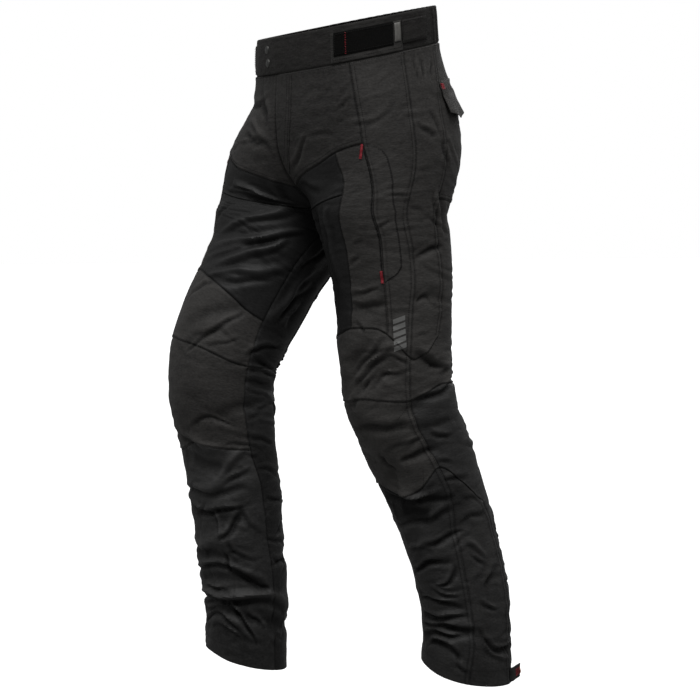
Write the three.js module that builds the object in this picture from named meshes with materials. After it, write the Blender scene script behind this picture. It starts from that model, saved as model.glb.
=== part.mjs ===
import * as THREE from 'three';

// Motorcycle trousers, filled out and in mid step. Millimetres, +Z up, the front faces -Y, the wearer's left is +X.
// The origin is the middle of the waist opening at half the height of the waistband.
// A place on the cloth is u (0 inseam or middle of the front, .25 front, .5 outer side, .75 back, 1 inseam or middle
// of the back) and v (millimetres up the cloth from the hem). side is 1 for the wearer's left and -1 for the right.

const size = { wall: 1.8, bandWall: 2.2, seam: 0.3, layer: 1.0, crotch: 780, waistSeam: 1005, waistTop: 1058 };
const deg = Math.PI / 180;

function table(names, rows) {
  const keys = names.split(' ');
  return rows.map((row) => Object.fromEntries(keys.map((key, n) => [key, row[n]])));
}

const leftLeg = table('v x y z across deep tilt roll', [
  [0, 105, 170, -1022, 64, 76, -6, 17],
  [60, 105, 169, -960, 64, 76, -4, 11],
  [120, 105, 162, -902, 64, 76, 0, 6],
  [190, 104, 146, -838, 65, 78, 8, 2],
  [260, 103, 123, -772, 67, 80, 14, 0],
  [330, 102, 96, -705, 71, 81, 16, 0],
  [400, 101, 67, -641, 75, 86, 14, 0],
  [465, 100, 42, -584, 79, 89, 8, 0],
  [535, 99, 32, -513, 80, 90, 2, 0],
  [605, 98, 29, -445, 83, 93, 0, 0],
  [670, 97, 26, -383, 87, 98, 0, 0],
  [730, 96, 16, -326, 91, 104, 0, 0],
  [780, 92.5, 5, -280, 94, 112, 0, 0],
]);

const rightLeg = table('v x y z across deep tilt roll', [
  [0, 105, -125, -1006, 71, 63, -10, -9],
  [60, 105, -126, -937, 71, 65, -6, -5],
  [120, 105, -129, -870, 71, 68, 1, 0],
  [190, 105, -139, -800, 72, 72, 5, 0],
  [260, 104, -147, -730, 73, 73, 5, 0],
  [330, 103, -158, -660, 75, 76, 2, 0],
  [400, 102, -170, -590, 79, 84, -4, 0],
  [465, 101, -167, -525, 82, 89, -14, 0],
  [535, 100, -145, -463, 84, 94, -24, 0],
  [605, 98, -109, -400, 87, 98, -27, 0],
  [670, 97, -74, -350, 90, 102, -26, 0],
  [730, 96, -33, -310, 93, 108, -18, 0],
  [780, 92.5, 5, -280, 94, 112, -8, 0],
]);

const pelvis = table('v y z across deep tilt', [
  [780, 24, -280, 188, 150, 0],
  [840, 28, -222, 190, 152, 2],
  [900, 22, -160, 188, 148, 6],
  [955, 10, -100, 180, 140, 10],
  [1005, 2, -38, 168, 131, 13],
  [1058, 0, 20, 164, 128, 13],
]);

// How far the front thigh steps forward, by height. The stepping leg carries far more of it.
const stepForward = table('v by', [
  [600, 0], [660, 4], [720, 34], [780, 68], [840, 80], [890, 64], [930, 34], [965, 0],
]);

// Seams that run up the cloth: u at each height v.
const upSeams = {
  inseam: table('v u', [[0, -0.035], [260, -0.032], [330, 0], [1058, 0]]),
  strip: table('v u', [[0, 0.20], [330, 0.25], [480, 0.265], [603, 0.282], [654, 0.294], [714, 0.306], [784, 0.308],
    [830, 0.275], [868, 0.226], [930, 0.2], [1058, 0.2]]),
  zip: table('v u', [[0, 0.32], [330, 0.36], [480, 0.375], [557, 0.397], [602, 0.397], [682, 0.393], [742, 0.405],
    [802, 0.385], [863, 0.32], [889, 0.299], [970, 0.294], [1058, 0.284]]),
  side: table('v u', [[0, 0.42], [60, 0.44], [160, 0.44], [245, 0.452], [320, 0.474], [373, 0.465], [436, 0.45],
    [481, 0.451], [556, 0.462], [639, 0.476], [706, 0.484], [810, 0.48], [907, 0.47], [978, 0.492], [1058, 0.505]]),
  back: table('v u', [[0, 0.6], [252, 0.603], [290, 0.585], [430, 0.56], [548, 0.552], [620, 0.572], [706, 0.57],
    [795, 0.57], [845, 0.592], [926, 0.605], [963, 0.64], [1005, 0.675], [1058, 0.675]]),
  inner: table('v u', [[0, 0.84], [500, 0.86], [1058, 0.86]]),
  end: table('v u', [[0, 0.965], [260, 0.968], [330, 1], [1058, 1]]),
};
const upCells = { strip: 6, zip: 3, side: 4, back: 3, inner: 8, end: 4 };

// Seams that run around the cloth: v at each place u.
const roundSeams = {
  hem: table('u v', [[-0.04, 0], [1, 0]]),
  cupFoot: table('u v', [[-0.04, 330], [0.08, 334], [0.2, 345], [0.3, 328], [0.38, 332], [0.472, 368], [0.585, 278],
    [0.75, 310], [1, 330]]),
  cupHead: table('u v', [[-0.04, 464], [0.05, 465], [0.15, 477], [0.25, 482], [0.31, 487], [0.45, 477], [0.56, 497],
    [0.75, 485], [1, 464]]),
  kneeHead: table('u v', [[-0.04, 543], [0.05, 547], [0.1, 557], [0.18, 572], [0.28, 588], [0.38, 590], [0.462, 553],
    [0.56, 574], [0.75, 560], [1, 543]]),
  meshCross: table('u v', [[-0.04, 780], [0, 780], [0.165, 787], [0.263, 806], [0.31, 810], [0.4, 804], [0.6, 798],
    [0.86, 784], [1, 780]]),
  yoke: table('u v', [[-0.04, 838], [0, 838], [0.056, 848], [0.169, 865], [0.224, 881], [0.29, 889], [0.5, 889],
    [0.6, 880], [0.86, 850], [1, 838]]),
  waist: table('u v', [[-0.04, 1005], [1, 1005]]),
};
const roundCells = { cupFoot: 18, cupHead: 7, kneeHead: 5, meshCross: 8, yoke: 4, waist: 6 };

// Largest folds: from one end to the other, how far the middle bows up the cloth, half width and depth (- is a trough).
const foldNames = 'u1 v1 u2 v2 bow wide deep';
const rightFolds = table(foldNames, [
  [0.19, 838, 0.06, 796, -4, 12, 5],
  [0.17, 806, 0.06, 784, -4, 11, -6],
  [0.20, 662, 0.04, 712, 8, 13, 4],
  [0.22, 632, 0.06, 696, 6, 11, -6],
  [0.23, 598, 0.06, 668, 8, 11, 4],
  [0.24, 592, 0.03, 655, -14, 11, -6],
  [0.95, 560, 0.90, 700, 0, 12, -5],
  [0.24, 494, 0.05, 552, 4, 10, -5],
  [0.22, 466, 0.09, 508, 4, 9, -4],
  [0.99, 480, 0.80, 476, 0, 9, -5],
  [0.99, 438, 0.82, 430, 0, 9, -5],
  [0.19, 362, 0.03, 368, 20, 9, -4],
  [0.09, 388, 0.88, 412, 4, 9, -5],
  [0.27, 322, 0.08, 306, 0, 15, -7],
  [0.15, 272, 0.01, 298, 0, 10, -5],
  [0.24, 238, 0.04, 222, -4, 15, -7],
  [0.24, 168, 0.10, 156, 0, 12, -6],
  [0.26, 196, 0.02, 184, 0, 12, 4],
  [0.27, 124, 0.98, 106, 8, 11, -6],
  [0.30, 100, 0.96, 96, 0, 10, 4],
  [0.34, 74, 0.90, 62, 8, 10, -7],
  [0.30, 34, 0.08, 28, 8, 8, -3],
  [0.86, 330, 0.55, 342, 0, 12, -5],
  [0.86, 250, 0.58, 232, 6, 12, -4],
  [0.90, 150, 0.52, 128, 6, 12, -5],
  [0.86, 84, 0.50, 72, 4, 11, -6],
  [0.62, 452, 0.86, 458, 0, 12, -7],
  [0.62, 770, 0.90, 742, 10, 14, -5],
  [0.34, 520, 0.52, 508, 4, 11, -5],
  [0.36, 410, 0.50, 396, 6, 11, -4],
]);
const leftFolds = table(foldNames, [
  [0.24, 770, 0.23, 640, 0, 10, 4],
  [0.19, 790, 0.18, 650, 0, 10, -5],
  [0.47, 694, 0.58, 722, 6, 10, -5],
  [0.47, 634, 0.58, 628, 8, 10, -5],
  [0.28, 622, 0.40, 628, -8, 11, -4],
  [0.36, 566, 0.25, 524, 0, 10, -5],
  [0.41, 546, 0.25, 506, 6, 10, -5],
  [0.44, 522, 0.27, 494, 10, 9, -4],
  [0.46, 540, 0.60, 512, 4, 10, -6],
  [0.38, 450, 0.64, 508, 2, 11, -6],
  [0.25, 447, 0.43, 441, 0, 9, -4],
  [0.44, 428, 0.56, 432, 0, 9, -4],
  [0.36, 388, 0.49, 396, 0, 10, -6],
  [0.33, 392, 0.30, 352, 0, 10, -5],
  [0.22, 324, 0.44, 314, 0, 12, -6],
  [0.24, 298, 0.38, 282, 0, 16, -7],
  [0.26, 246, 0.42, 278, 4, 12, -5],
  [0.33, 222, 0.52, 258, 10, 10, -5],
  [0.24, 186, 0.41, 206, 10, 10, -5],
  [0.22, 132, 0.43, 112, 0, 11, -5],
  [0.22, 92, 0.42, 84, 0, 9, -5],
  [0.22, 68, 0.50, 78, 0, 9, -6],
  [0.22, 48, 0.40, 34, 4, 8, -5],
  [0.46, 50, 0.64, 54, -8, 9, -5],
  [0.62, 500, 0.90, 494, 4, 12, -8],
  [0.64, 446, 0.90, 436, 0, 11, -5],
  [0.62, 390, 0.92, 372, 4, 12, -4],
  [0.66, 300, 0.96, 282, 6, 13, -5],
  [0.64, 190, 0.94, 174, 6, 12, -5],
  [0.62, 92, 0.98, 78, 8, 11, -6],
  [0.02, 300, 0.20, 286, 4, 12, -5],
  [0.00, 208, 0.18, 196, 4, 12, -5],
  [0.98, 120, 0.18, 104, 0, 11, -5],
  [0.62, 770, 0.90, 742, 10, 14, -5],
  [0.02, 620, 0.16, 590, 0, 12, -4],
]);

// Smooth reading of a table at v, every other column at once.
function read(rows, v) {
  const last = rows.length - 1;
  let k = 0;
  while (k < last - 1 && rows[k + 1].v <= v) k += 1;
  const span = rows[k + 1].v - rows[k].v;
  const t = (v - rows[k].v) / span;
  const out = {};
  for (const key of Object.keys(rows[0])) {
    if (key === 'v') continue;
    const slope = (n) => {
      const a = Math.max(n - 1, 0);
      const b = Math.min(n + 1, last);
      return (rows[b][key] - rows[a][key]) / (rows[b].v - rows[a].v);
    };
    const t2 = t * t;
    const t3 = t2 * t;
    out[key] = (2 * t3 - 3 * t2 + 1) * rows[k][key] + (t3 - 2 * t2 + t) * span * slope(k)
      + (3 * t2 - 2 * t3) * rows[k + 1][key] + (t3 - t2) * span * slope(k + 1);
  }
  return out;
}

// Straight reading of a two column table.
function line(rows, from, to, at) {
  const last = rows.length - 1;
  if (at <= rows[0][from]) return rows[0][to];
  if (at >= rows[last][from]) return rows[last][to];
  let k = 0;
  while (rows[k + 1][from] < at) k += 1;
  const t = (at - rows[k][from]) / (rows[k + 1][from] - rows[k][from]);
  return rows[k][to] + t * (rows[k + 1][to] - rows[k][to]);
}

// Reading with rounded corners, so that seams curve.
function curve(rows, from, to, at, soft) {
  let sum = 0;
  for (const shift of [-1, -0.5, 0, 0.5, 1]) sum += line(rows, from, to, at + shift * soft);
  return sum / 5;
}

function clamp(value, low, high) {
  return Math.min(Math.max(value, low), high);
}

// Leg ring below the crotch, drawn over into the ring of the hips above it.
function ringAt(side, u, v) {
  const rows = side > 0 ? leftLeg : rightLeg;
  const leg = read(rows, Math.min(v, size.crotch));
  const a = 2 * Math.PI * u;
  const squareLeg = 1 - 0.02 * Math.cos(4 * a);
  const out = -Math.cos(a) * leg.across * squareLeg;
  const back = -Math.sin(a) * leg.deep * squareLeg;
  const point = new THREE.Vector3(
    side * (leg.x + out),
    leg.y + back * Math.cos(leg.tilt * deg),
    leg.z + back * Math.sin(leg.tilt * deg) - out * Math.tan(leg.roll * deg),
  );
  if (v > size.crotch) {
    const hips = read(pelvis, Math.min(v, size.waistTop));
    const b = Math.PI * u;
    const squareHips = 1.02 - 0.02 * Math.cos(4 * b);
    const around = -Math.cos(b) * hips.deep * squareHips;
    const ring = new THREE.Vector3(
      side * Math.sin(b) * hips.across * squareHips,
      hips.y + around * Math.cos(hips.tilt * deg),
      hips.z + around * Math.sin(hips.tilt * deg),
    );
    point.z += Math.sin(b) ** 2 * (hips.z + 280);
    const t = clamp((v - size.crotch) / 130, 0, 1);
    point.lerp(ring, Math.sin(t * Math.PI / 2) ** 0.75);
  }
  if (side < 0) {
    const spread = Math.max(Math.sin(Math.PI * (u - Math.floor(u))), 0) ** 0.7;
    point.y -= line(stepForward, 'v', 'by', v) * spread * (1 - 0.45 * clamp((u - 0.4) / 0.5, 0, 1));
  }
  return point;
}

// The smooth form without folds: the rings averaged a little up and down where the leg meets the hips.
function formAt(side, u, v) {
  const near = u - Math.floor(u);
  const reach = 38 * clamp(Math.min(near, 1 - near) / 0.09, 0, 1) * clamp((v - 620) / 80, 0, 1) * clamp((960 - v) / 60, 0, 1);
  if (reach < 0.01) return ringAt(side, u, v);
  const sum = new THREE.Vector3();
  let weight = 0;
  for (let n = -4; n <= 4; n += 1) {
    const w = 5 - Math.abs(n);
    sum.addScaledVector(ringAt(side, u, v + n / 4 * reach), w);
    weight += w;
  }
  return sum.multiplyScalar(1 / weight);
}

function normalAt(side, u, v) {
  const lowU = v >= size.crotch ? Math.max(u - 0.002, 0) : u - 0.002;
  const highU = v >= size.crotch ? Math.min(u + 0.002, 1) : u + 0.002;
  const lowV = Math.max(v - 1, 0);
  const highV = Math.min(v + 1, size.waistTop);
  const along = formAt(side, highU, v).sub(formAt(side, lowU, v));
  const up = formAt(side, u, highV).sub(formAt(side, u, lowV));
  return along.cross(up).multiplyScalar(side).normalize();
}

function foldsAt(side, u, v) {
  let sum = 0;
  for (const fold of side > 0 ? leftFolds : rightFolds) {
    let run = fold.u2 - fold.u1;
    run -= Math.round(run);
    let off = u - (fold.u1 + run / 2);
    off -= Math.round(off);
    const dx = run * 500;
    const dy = fold.v2 - fold.v1;
    const length = Math.hypot(dx, dy);
    const px = off * 500;
    const py = v - (fold.v1 + fold.v2) / 2;
    const t = (px * dx + py * dy) / (length * length) + 0.5;
    if (t <= 0 || t >= 1) continue;
    const ends = 4 * t * (1 - t);
    const aside = (px * -dy + py * dx) / length * Math.sign(dx || 1) - fold.bow * ends;
    sum += fold.deep * Math.sqrt(ends) * Math.exp(-((aside / fold.wide) ** 2));
  }
  const fromMiddle = v > size.crotch ? Math.min(u, 1 - u) / 0.06 : 1;
  return sum * clamp(fromMiddle, 0, 1) * clamp((size.waistSeam - v) / 60, 0, 1);
}

function clothAt(side, u, v) {
  const normal = normalAt(side, u, v);
  const point = formAt(side, u, v).addScaledVector(normal, foldsAt(side, u, v));
  if (v >= size.crotch - 1e-6 && (u < 1e-6 || u > 1 - 1e-6)) point.x = 0;
  return { point, normal, side };
}

// Places of the grid lines of one leg.
function lines(seams, cells) {
  const names = Object.keys(seams);
  const out = [{ low: names[0], high: names[0], t: 0 }];
  for (let n = 1; n < names.length; n += 1) {
    const count = cells[names[n]];
    for (let k = 1; k <= count; k += 1) out.push({ low: names[n - 1], high: names[n], t: k / count });
  }
  return out;
}
const columns = lines(upSeams, upCells);
const rows = lines(roundSeams, roundCells);
const columnOf = Object.fromEntries(Object.keys(upSeams).map((name) => [name,
  columns.findIndex((c) => (c.high === name && c.t === 1) || (c.low === name && c.t === 0))]));
const rowOf = Object.fromEntries(Object.keys(roundSeams).map((name) => [name,
  rows.findIndex((r) => (r.high === name && r.t === 1) || (r.low === name && r.t === 0))]));

function legGrid(side) {
  return rows.map((row) => columns.map((column) => {
    let u = 0.5;
    let v = 500;
    for (let n = 0; n < 30; n += 1) {
      const low = curve(roundSeams[row.low], 'u', 'v', u, 0.02);
      const high = curve(roundSeams[row.high], 'u', 'v', u, 0.02);
      v = low + (high - low) * row.t;
      const left = curve(upSeams[column.low], 'v', 'u', v, 14);
      const right = curve(upSeams[column.high], 'v', 'u', v, 14);
      u = left + (right - left) * column.t;
    }
    if (row.low === 'kneeHead' && row.t === 1 && (u < 1e-6 || u > 1 - 1e-6)) v = size.crotch;
    return clothAt(side, u, v);
  }));
}

// A closed piece of cloth over some cells of a grid. lift moves it off the grid, inset draws its edges in.
function piece(name, colour, grid, has, { wall = size.wall, lift = 0, inset = size.seam / 2, flip = false } = {}) {
  const high = grid.length - 1;
  const wide = grid[0].length - 1;
  const inside = (i, j) => i >= 0 && j >= 0 && i < wide && j < high && has(i, j);
  const liftAt = typeof lift === 'function' ? lift : () => lift;
  const layer = (depth) => (i, j) => {
    const { point, normal } = grid[j][i];
    return point.clone().addScaledVector(normal, liftAt(i, j) - depth);
  };
  const layers = [layer(0), layer(wall)];
  const index = new Map();
  const positions = [];
  function vertex(i, j, k) {
    const key = `${i},${j},${k}`;
    if (!index.has(key)) {
      const missing = { left: 0, right: 0, low: 0, top: 0 };
      for (const [a, b] of [[-1, -1], [0, -1], [-1, 0], [0, 0]]) {
        if (inside(i + a, j + b)) continue;
        missing[a < 0 ? 'left' : 'right'] += 1;
        missing[b < 0 ? 'low' : 'top'] += 1;
      }
      const stepI = Math.sign(missing.left - missing.right);
      const stepJ = Math.sign(missing.low - missing.top);
      const point = layers[k](i, j);
      const moved = point.clone();
      if (stepI) moved.addScaledVector(layers[k](i + stepI, j).sub(point).normalize(), inset);
      if (stepJ) moved.addScaledVector(layers[k](i, j + stepJ).sub(point).normalize(), inset);
      if (grid[j][i].side && Math.abs(point.x) < 60) {
        moved.x = grid[j][i].side * Math.max(grid[j][i].side * moved.x, size.seam / 2);
      }
      index.set(key, positions.length / 3);
      positions.push(moved.x, moved.y, moved.z);
    }
    return index.get(key);
  }
  const faces = [];
  const face = (a, b, c, d) => {
    if (flip) faces.push(a, c, b, a, d, c);
    else faces.push(a, b, c, a, c, d);
  };
  for (let j = 0; j < high; j += 1) {
    for (let i = 0; i < wide; i += 1) {
      if (!inside(i, j)) continue;
      const o = [vertex(i, j, 0), vertex(i + 1, j, 0), vertex(i + 1, j + 1, 0), vertex(i, j + 1, 0)];
      const n = [vertex(i, j, 1), vertex(i + 1, j, 1), vertex(i + 1, j + 1, 1), vertex(i, j + 1, 1)];
      face(o[0], o[1], o[2], o[3]);
      face(n[0], n[3], n[2], n[1]);
      if (!inside(i, j - 1)) face(n[0], n[1], o[1], o[0]);
      if (!inside(i + 1, j)) face(n[1], n[2], o[2], o[1]);
      if (!inside(i, j + 1)) face(n[2], n[3], o[3], o[2]);
      if (!inside(i - 1, j)) face(n[3], n[0], o[0], o[3]);
    }
  }
  const geometry = new THREE.BufferGeometry();
  geometry.setAttribute('position', new THREE.Float32BufferAttribute(positions, 3));
  geometry.setIndex(faces);
  geometry.computeVertexNormals();
  return named(name, colour, geometry);
}

function named(name, colour, geometry) {
  const material = new THREE.MeshStandardMaterial({ color: colour, roughness: 0.85, metalness: 0 });
  material.name = `${name}Cloth`;
  const mesh = new THREE.Mesh(geometry, material);
  mesh.name = name;
  return mesh;
}

const within = (...blocks) => (i, j) => blocks.some(([i0, i1, j0, j1]) => i >= i0 && i < i1 && j >= j0 && j < j1);

const colours = { shell: 0x4a4945, side: 0x4d4c48, mesh: 0x2c2c2c, shin: 0x3d3d3c, band: 0x3d3c39, loop: 0x1a1918,
  tip: 0xb9b8b2, metal: 0x8d8c88, zip: 0x1c1c1c };

const group = new THREE.Group();
group.name = 'motorcycleTrousers';

for (const side of [1, -1]) {
  const hand = side > 0 ? 'Left' : 'Right';
  const flip = side < 0;
  const grid = legGrid(side);
  const c = columnOf;
  const r = rowOf;
  const panels = table('name colour blocks', [
    ['frontYoke', 'shell', [[c.inseam, c.zip, r.yoke, r.waist]]],
    ['thighMeshUpper', 'mesh', [[c.inseam, c.strip, r.meshCross, r.yoke]]],
    ['thighMeshLower', 'mesh', [[c.inseam, c.strip, r.kneeHead, r.meshCross]]],
    ['frontStrip', 'shell', [[c.strip, c.zip, r.kneeHead, r.yoke]]],
    ['sideFront', 'side', [[c.zip, c.side, r.kneeHead, r.waist]]],
    ['sideBack', 'side', [[c.side, c.back, r.kneeHead, r.waist]]],
    ['seat', 'shell', [[c.back, c.end, r.meshCross, r.waist]]],
    ['thighBack', 'shell', [[c.back, c.inner, r.cupHead, r.meshCross], [c.side, c.back, r.cupHead, r.kneeHead]]],
    ['thighMeshBack', 'mesh', [[c.inner, c.end, r.cupHead, r.meshCross]]],
    ['kneePanel', 'shell', [[c.inseam, c.side, r.cupHead, r.kneeHead]]],
    ['kneeCup', 'shell', [[c.inseam, c.side, r.cupFoot, r.cupHead]]],
    ['shin', 'shin', [[c.inseam, c.side, r.hem, r.cupFoot]]],
    ['calfSide', 'side', [[c.side, c.back, r.hem, r.cupFoot]]],
    ['calfBack', 'shin', [[c.back, c.end, r.hem, r.cupFoot], [c.side, c.end, r.cupFoot, r.cupHead]]],
  ]);
  for (const panel of panels) {
    group.add(piece(`${panel.name}${hand}`, colours[panel.colour], grid, within(...panel.blocks), { flip }));
  }

  // Pocket patch: three of the four columns behind the zip, its upper back corner cut off.
  const patchTop = r.yoke;
  group.add(piece(`pocketPatch${hand}`, colours.side, grid,
    (i, j) => i >= c.zip && i < c.zip + 3 && j >= r.kneeHead + 4 && j < patchTop && !(i === c.zip + 2 && j >= patchTop - 2),
    { flip, wall: size.layer, lift: size.seam + size.layer, inset: 1.5 }));
  group.add(piece(`backPocketFlap${hand}`, colours.side, grid, within([c.back + 1, c.back + 7, r.waist - 4, r.waist - 2]),
    { flip, wall: 1.4, inset: 2, lift: (i, j) => size.seam + 1.4 + (r.waist - 2 - j) * 2.2 }));
  group.add(piece(`hemTab${hand}`, colours.shin, grid, within([c.back, c.back + 2, r.hem, r.hem + 1]),
    { flip, wall: 1.6, inset: 1, lift: (i) => size.seam + 1.6 + (i - c.back) * 6 }));
  if (side > 0) {
    group.add(piece('flyFacing', colours.shell, grid, within([c.inseam, c.inseam + 2, r.yoke, r.waist]),
      { flip, wall: size.layer, lift: size.seam + size.layer, inset: 0.3 }));
  }

  // Narrow zip that lies along the zip seam.
  const zipHalf = 2.6;
  const zipGrid = [];
  for (let j = r.kneeHead + 4; j <= r.yoke - 0; j += 1) {
    const middle = grid[j][c.zip];
    const toBack = grid[j][c.zip + 1].point.clone().sub(middle.point).normalize();
    const toFront = grid[j][c.zip - 1].point.clone().sub(middle.point).normalize();
    zipGrid.push([
      { point: middle.point.clone().addScaledVector(toFront, zipHalf), normal: middle.normal },
      { point: middle.point.clone(), normal: middle.normal },
      { point: middle.point.clone().addScaledVector(toBack, 0.9), normal: middle.normal },
    ]);
  }
  group.add(piece(`pocketZip${hand}`, colours.zip, zipGrid, () => true,
    { flip, wall: 1, lift: size.seam + 1, inset: 0.05 }));
}

// Waistband, in its own columns and rows.
const bandRows = [1005, 1014, 1031, 1048, 1058];
const frontPlaces = [0, 0.04, 0.08, 0.12, 0.16, 0.2, 0.232, 0.262, 0.3, 0.34, 0.38, 0.42, 0.455, 0.492, 0.53, 0.575,
  0.62, 0.66];
const tabPlaces = [0.112, 0.08, 0.05, 0.02, 0.0005];
const backCells = 20;

function bandGrid(places) {
  return bandRows.map((v) => places.map(({ side, u, lift }) => {
    const spot = clothAt(side, u, v);
    spot.point.addScaledVector(spot.normal, lift || 0);
    return { point: spot.point, normal: spot.normal, side: side * (u < 0.0005 || u > 0.9995 ? 1 : 0) };
  }));
}
const rightFront = bandGrid(frontPlaces.map((u) => ({ side: -1, u })));
const leftFront = bandGrid([
  ...tabPlaces.map((u) => ({ side: -1, u, lift: size.bandWall + size.seam })),
  ...frontPlaces.slice(1).map((u) => ({ side: 1, u })),
]);
group.add(piece('waistbandFrontRight', colours.band, rightFront, () => true, { wall: size.bandWall, flip: true }));
group.add(piece('waistbandFrontLeft', colours.band, leftFront, () => true, { wall: size.bandWall }));

for (const side of [1, -1]) {
  const hand = side > 0 ? 'Left' : 'Right';
  const flip = side < 0;
  const gathers = [];
  for (let n = 0; n <= backCells; n += 1) {
    gathers.push({ side, u: 0.66 + 0.34 * n / backCells, lift: n % 2 && n < backCells ? -1.6 : 1.1 });
  }
  group.add(piece(`waistbandBack${hand}`, colours.band, bandGrid(gathers), () => true, { wall: size.bandWall, flip }));

  const shift = side > 0 ? tabPlaces.length - 1 : 0;
  const band = side > 0 ? leftFront : rightFront;
  const at = (u) => frontPlaces.indexOf(u) + shift;
  const base = size.seam + size.layer;
  const strips = table('name colour from to low high wall lift', [
    ['adjusterPatch', 'side', 0.232, 0.492, 0, 3, 1, base],
    ['adjusterLoop', 'loop', 0.262, 0.455, 1, 3, 1, base * 2],
    ['adjusterTip', 'tip', 0.455, 0.492, 1, 3, 1.6, base * 2 + 0.6],
    ['adjusterStrap', 'band', 0.492, 0.62, 1, 3, 1.6, size.seam + 1.6],
  ]);
  for (const s of strips) {
    group.add(piece(`${s.name}${hand}`, colours[s.colour], band, within([at(s.from), at(s.to), s.low, s.high]),
      { flip, wall: s.wall, lift: s.lift, inset: s.name === 'adjusterPatch' ? 0.8 : 0.4 }));
  }
}

// Two press studs on the tab of the waistband.
for (const stud of table('name u v', [['snapUpper', 0.055, 1041], ['snapLower', 0.047, 1022]])) {
  const { point, normal } = clothAt(-1, stud.u, stud.v);
  const geometry = new THREE.LatheGeometry([[0, 0], [6.8, 0], [6.8, 1.1], [5.6, 2], [0, 2.3]]
    .map(([x, y]) => new THREE.Vector2(x, y)), 20);
  const turn = new THREE.Quaternion().setFromUnitVectors(new THREE.Vector3(0, 1, 0), normal);
  geometry.applyQuaternion(turn);
  const seat = point.addScaledVector(normal, size.bandWall + size.seam * 2 + 0.15);
  geometry.translate(seat.x, seat.y, seat.z);
  group.add(named(stud.name, colours.metal, geometry));
}

export default group;
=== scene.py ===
import math

import bpy
import numpy as np
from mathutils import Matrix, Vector


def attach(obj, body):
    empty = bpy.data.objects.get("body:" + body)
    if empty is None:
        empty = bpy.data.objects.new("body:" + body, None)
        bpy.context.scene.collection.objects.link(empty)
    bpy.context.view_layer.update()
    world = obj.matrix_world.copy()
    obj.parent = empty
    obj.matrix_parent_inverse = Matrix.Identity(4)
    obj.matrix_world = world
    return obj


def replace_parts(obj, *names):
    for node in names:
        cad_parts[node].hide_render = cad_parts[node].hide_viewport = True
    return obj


# Motorcycle trousers, filled out and in mid step. Shapes are worked out in millimetres and made in metres.
# A place on the cloth is u (0 inseam or middle of the front, .25 front, .5 outer side, .75 back, 1 inseam or
# middle of the back) and v (millimetres up the cloth from the hem). side is 1 for the wearer's left, -1 for
# the right.

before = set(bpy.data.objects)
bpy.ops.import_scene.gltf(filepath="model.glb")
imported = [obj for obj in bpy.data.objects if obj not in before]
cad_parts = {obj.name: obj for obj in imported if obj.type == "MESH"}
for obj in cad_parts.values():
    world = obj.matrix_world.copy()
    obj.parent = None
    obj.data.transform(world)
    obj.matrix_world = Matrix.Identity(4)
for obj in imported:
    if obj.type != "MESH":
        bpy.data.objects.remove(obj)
bpy.ops.object.select_all(action="DESELECT")
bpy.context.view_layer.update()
mm = 0.001
perTurn = 500.0  # mm of cloth that u from 0 to 1 stands for in a fold's slant and in the weave
hands = {1: "Left", -1: "Right"}
print("frame loaded")


def ramp(at, start, end):
    # 0 at start, 1 at end, which may be the lower of the two, and straight between them.
    return np.clip((at - start) / (end - start), 0, 1)


def hump(at, middle, half):
    # 1 at the middle, falling away softly on both sides.
    return np.exp(-((at - middle) / half)**2)


def unit(vectors):
    return vectors / np.maximum(np.linalg.norm(vectors, axis=-1, keepdims=True), 1e-9)


# Camera, light and floor

view = {
    "azimuth": 58.0, "elevation": 3.5, "distance": 3.0, "aim": (0.0, 0.0, -0.5), "clipEnd": 100.0,
    "pixelsPerMm": 0.62, "imagePixels": 700, "aimPixel": (345, 348), "sensorMm": 36.0,
}


def directionOf(azimuth, elevation):
    turn, rise = math.radians(azimuth), math.radians(elevation)
    return Vector((math.sin(turn) * math.cos(rise), -math.cos(turn) * math.cos(rise), math.sin(rise)))


def placeCamera():
    data = bpy.data.cameras.new("photoCamera")
    data.sensor_width = view["sensorMm"]
    focal = view["pixelsPerMm"] * view["distance"] / mm / view["imagePixels"]  # in sensor widths
    data.lens = focal * view["sensorMm"]
    middle = view["imagePixels"] / 2
    data.shift_x = (middle - view["aimPixel"][0]) / view["imagePixels"]
    data.shift_y = (view["aimPixel"][1] - middle) / view["imagePixels"]
    data.clip_end = view["clipEnd"]
    camera = bpy.data.objects.new("photoCamera", data)
    back = directionOf(view["azimuth"], view["elevation"])
    camera.location = Vector(view["aim"]) + back * view["distance"]
    camera.rotation_euler = back.to_track_quat("Z", "Y").to_euler()
    bpy.context.scene.collection.objects.link(camera)
    bpy.context.scene.camera = camera


studio = {
    "white": (1.0, 1.0, 1.0, 1.0), "backdrop": 1.0, "skyLight": 0.26,
    # azimuth, elevation, spread of the light in degrees, strength
    "lamps": {
        "topLight": (66, 64, 34, 2.65),
        "frontLight": (-20, 38, 50, 0.55),
        "backLight": (222, 40, 50, 0.85),
    },
    "floorHeight": -1.42, "floorHalf": 60.0,
}


def hangSky():
    # The backdrop is white, and lights the trousers less than it shows.
    scene = bpy.context.scene
    scene.view_settings.view_transform = "Standard"
    scene.world = bpy.data.worlds.new("studio")
    scene.world.use_nodes = True
    nodes, links = scene.world.node_tree.nodes, scene.world.node_tree.links
    seen, lighting = nodes["Background"], nodes.new("ShaderNodeBackground")
    for sky, strength in ((seen, studio["backdrop"]), (lighting, studio["skyLight"])):
        sky.inputs["Color"].default_value = studio["white"]
        sky.inputs["Strength"].default_value = strength
    choice = nodes.new("ShaderNodeMixShader")
    path = nodes.new("ShaderNodeLightPath")
    links.new(path.outputs["Is Camera Ray"], choice.inputs[0])
    links.new(lighting.outputs[0], choice.inputs[1])
    links.new(seen.outputs[0], choice.inputs[2])
    links.new(choice.outputs[0], nodes["World Output"].inputs["Surface"])


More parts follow.
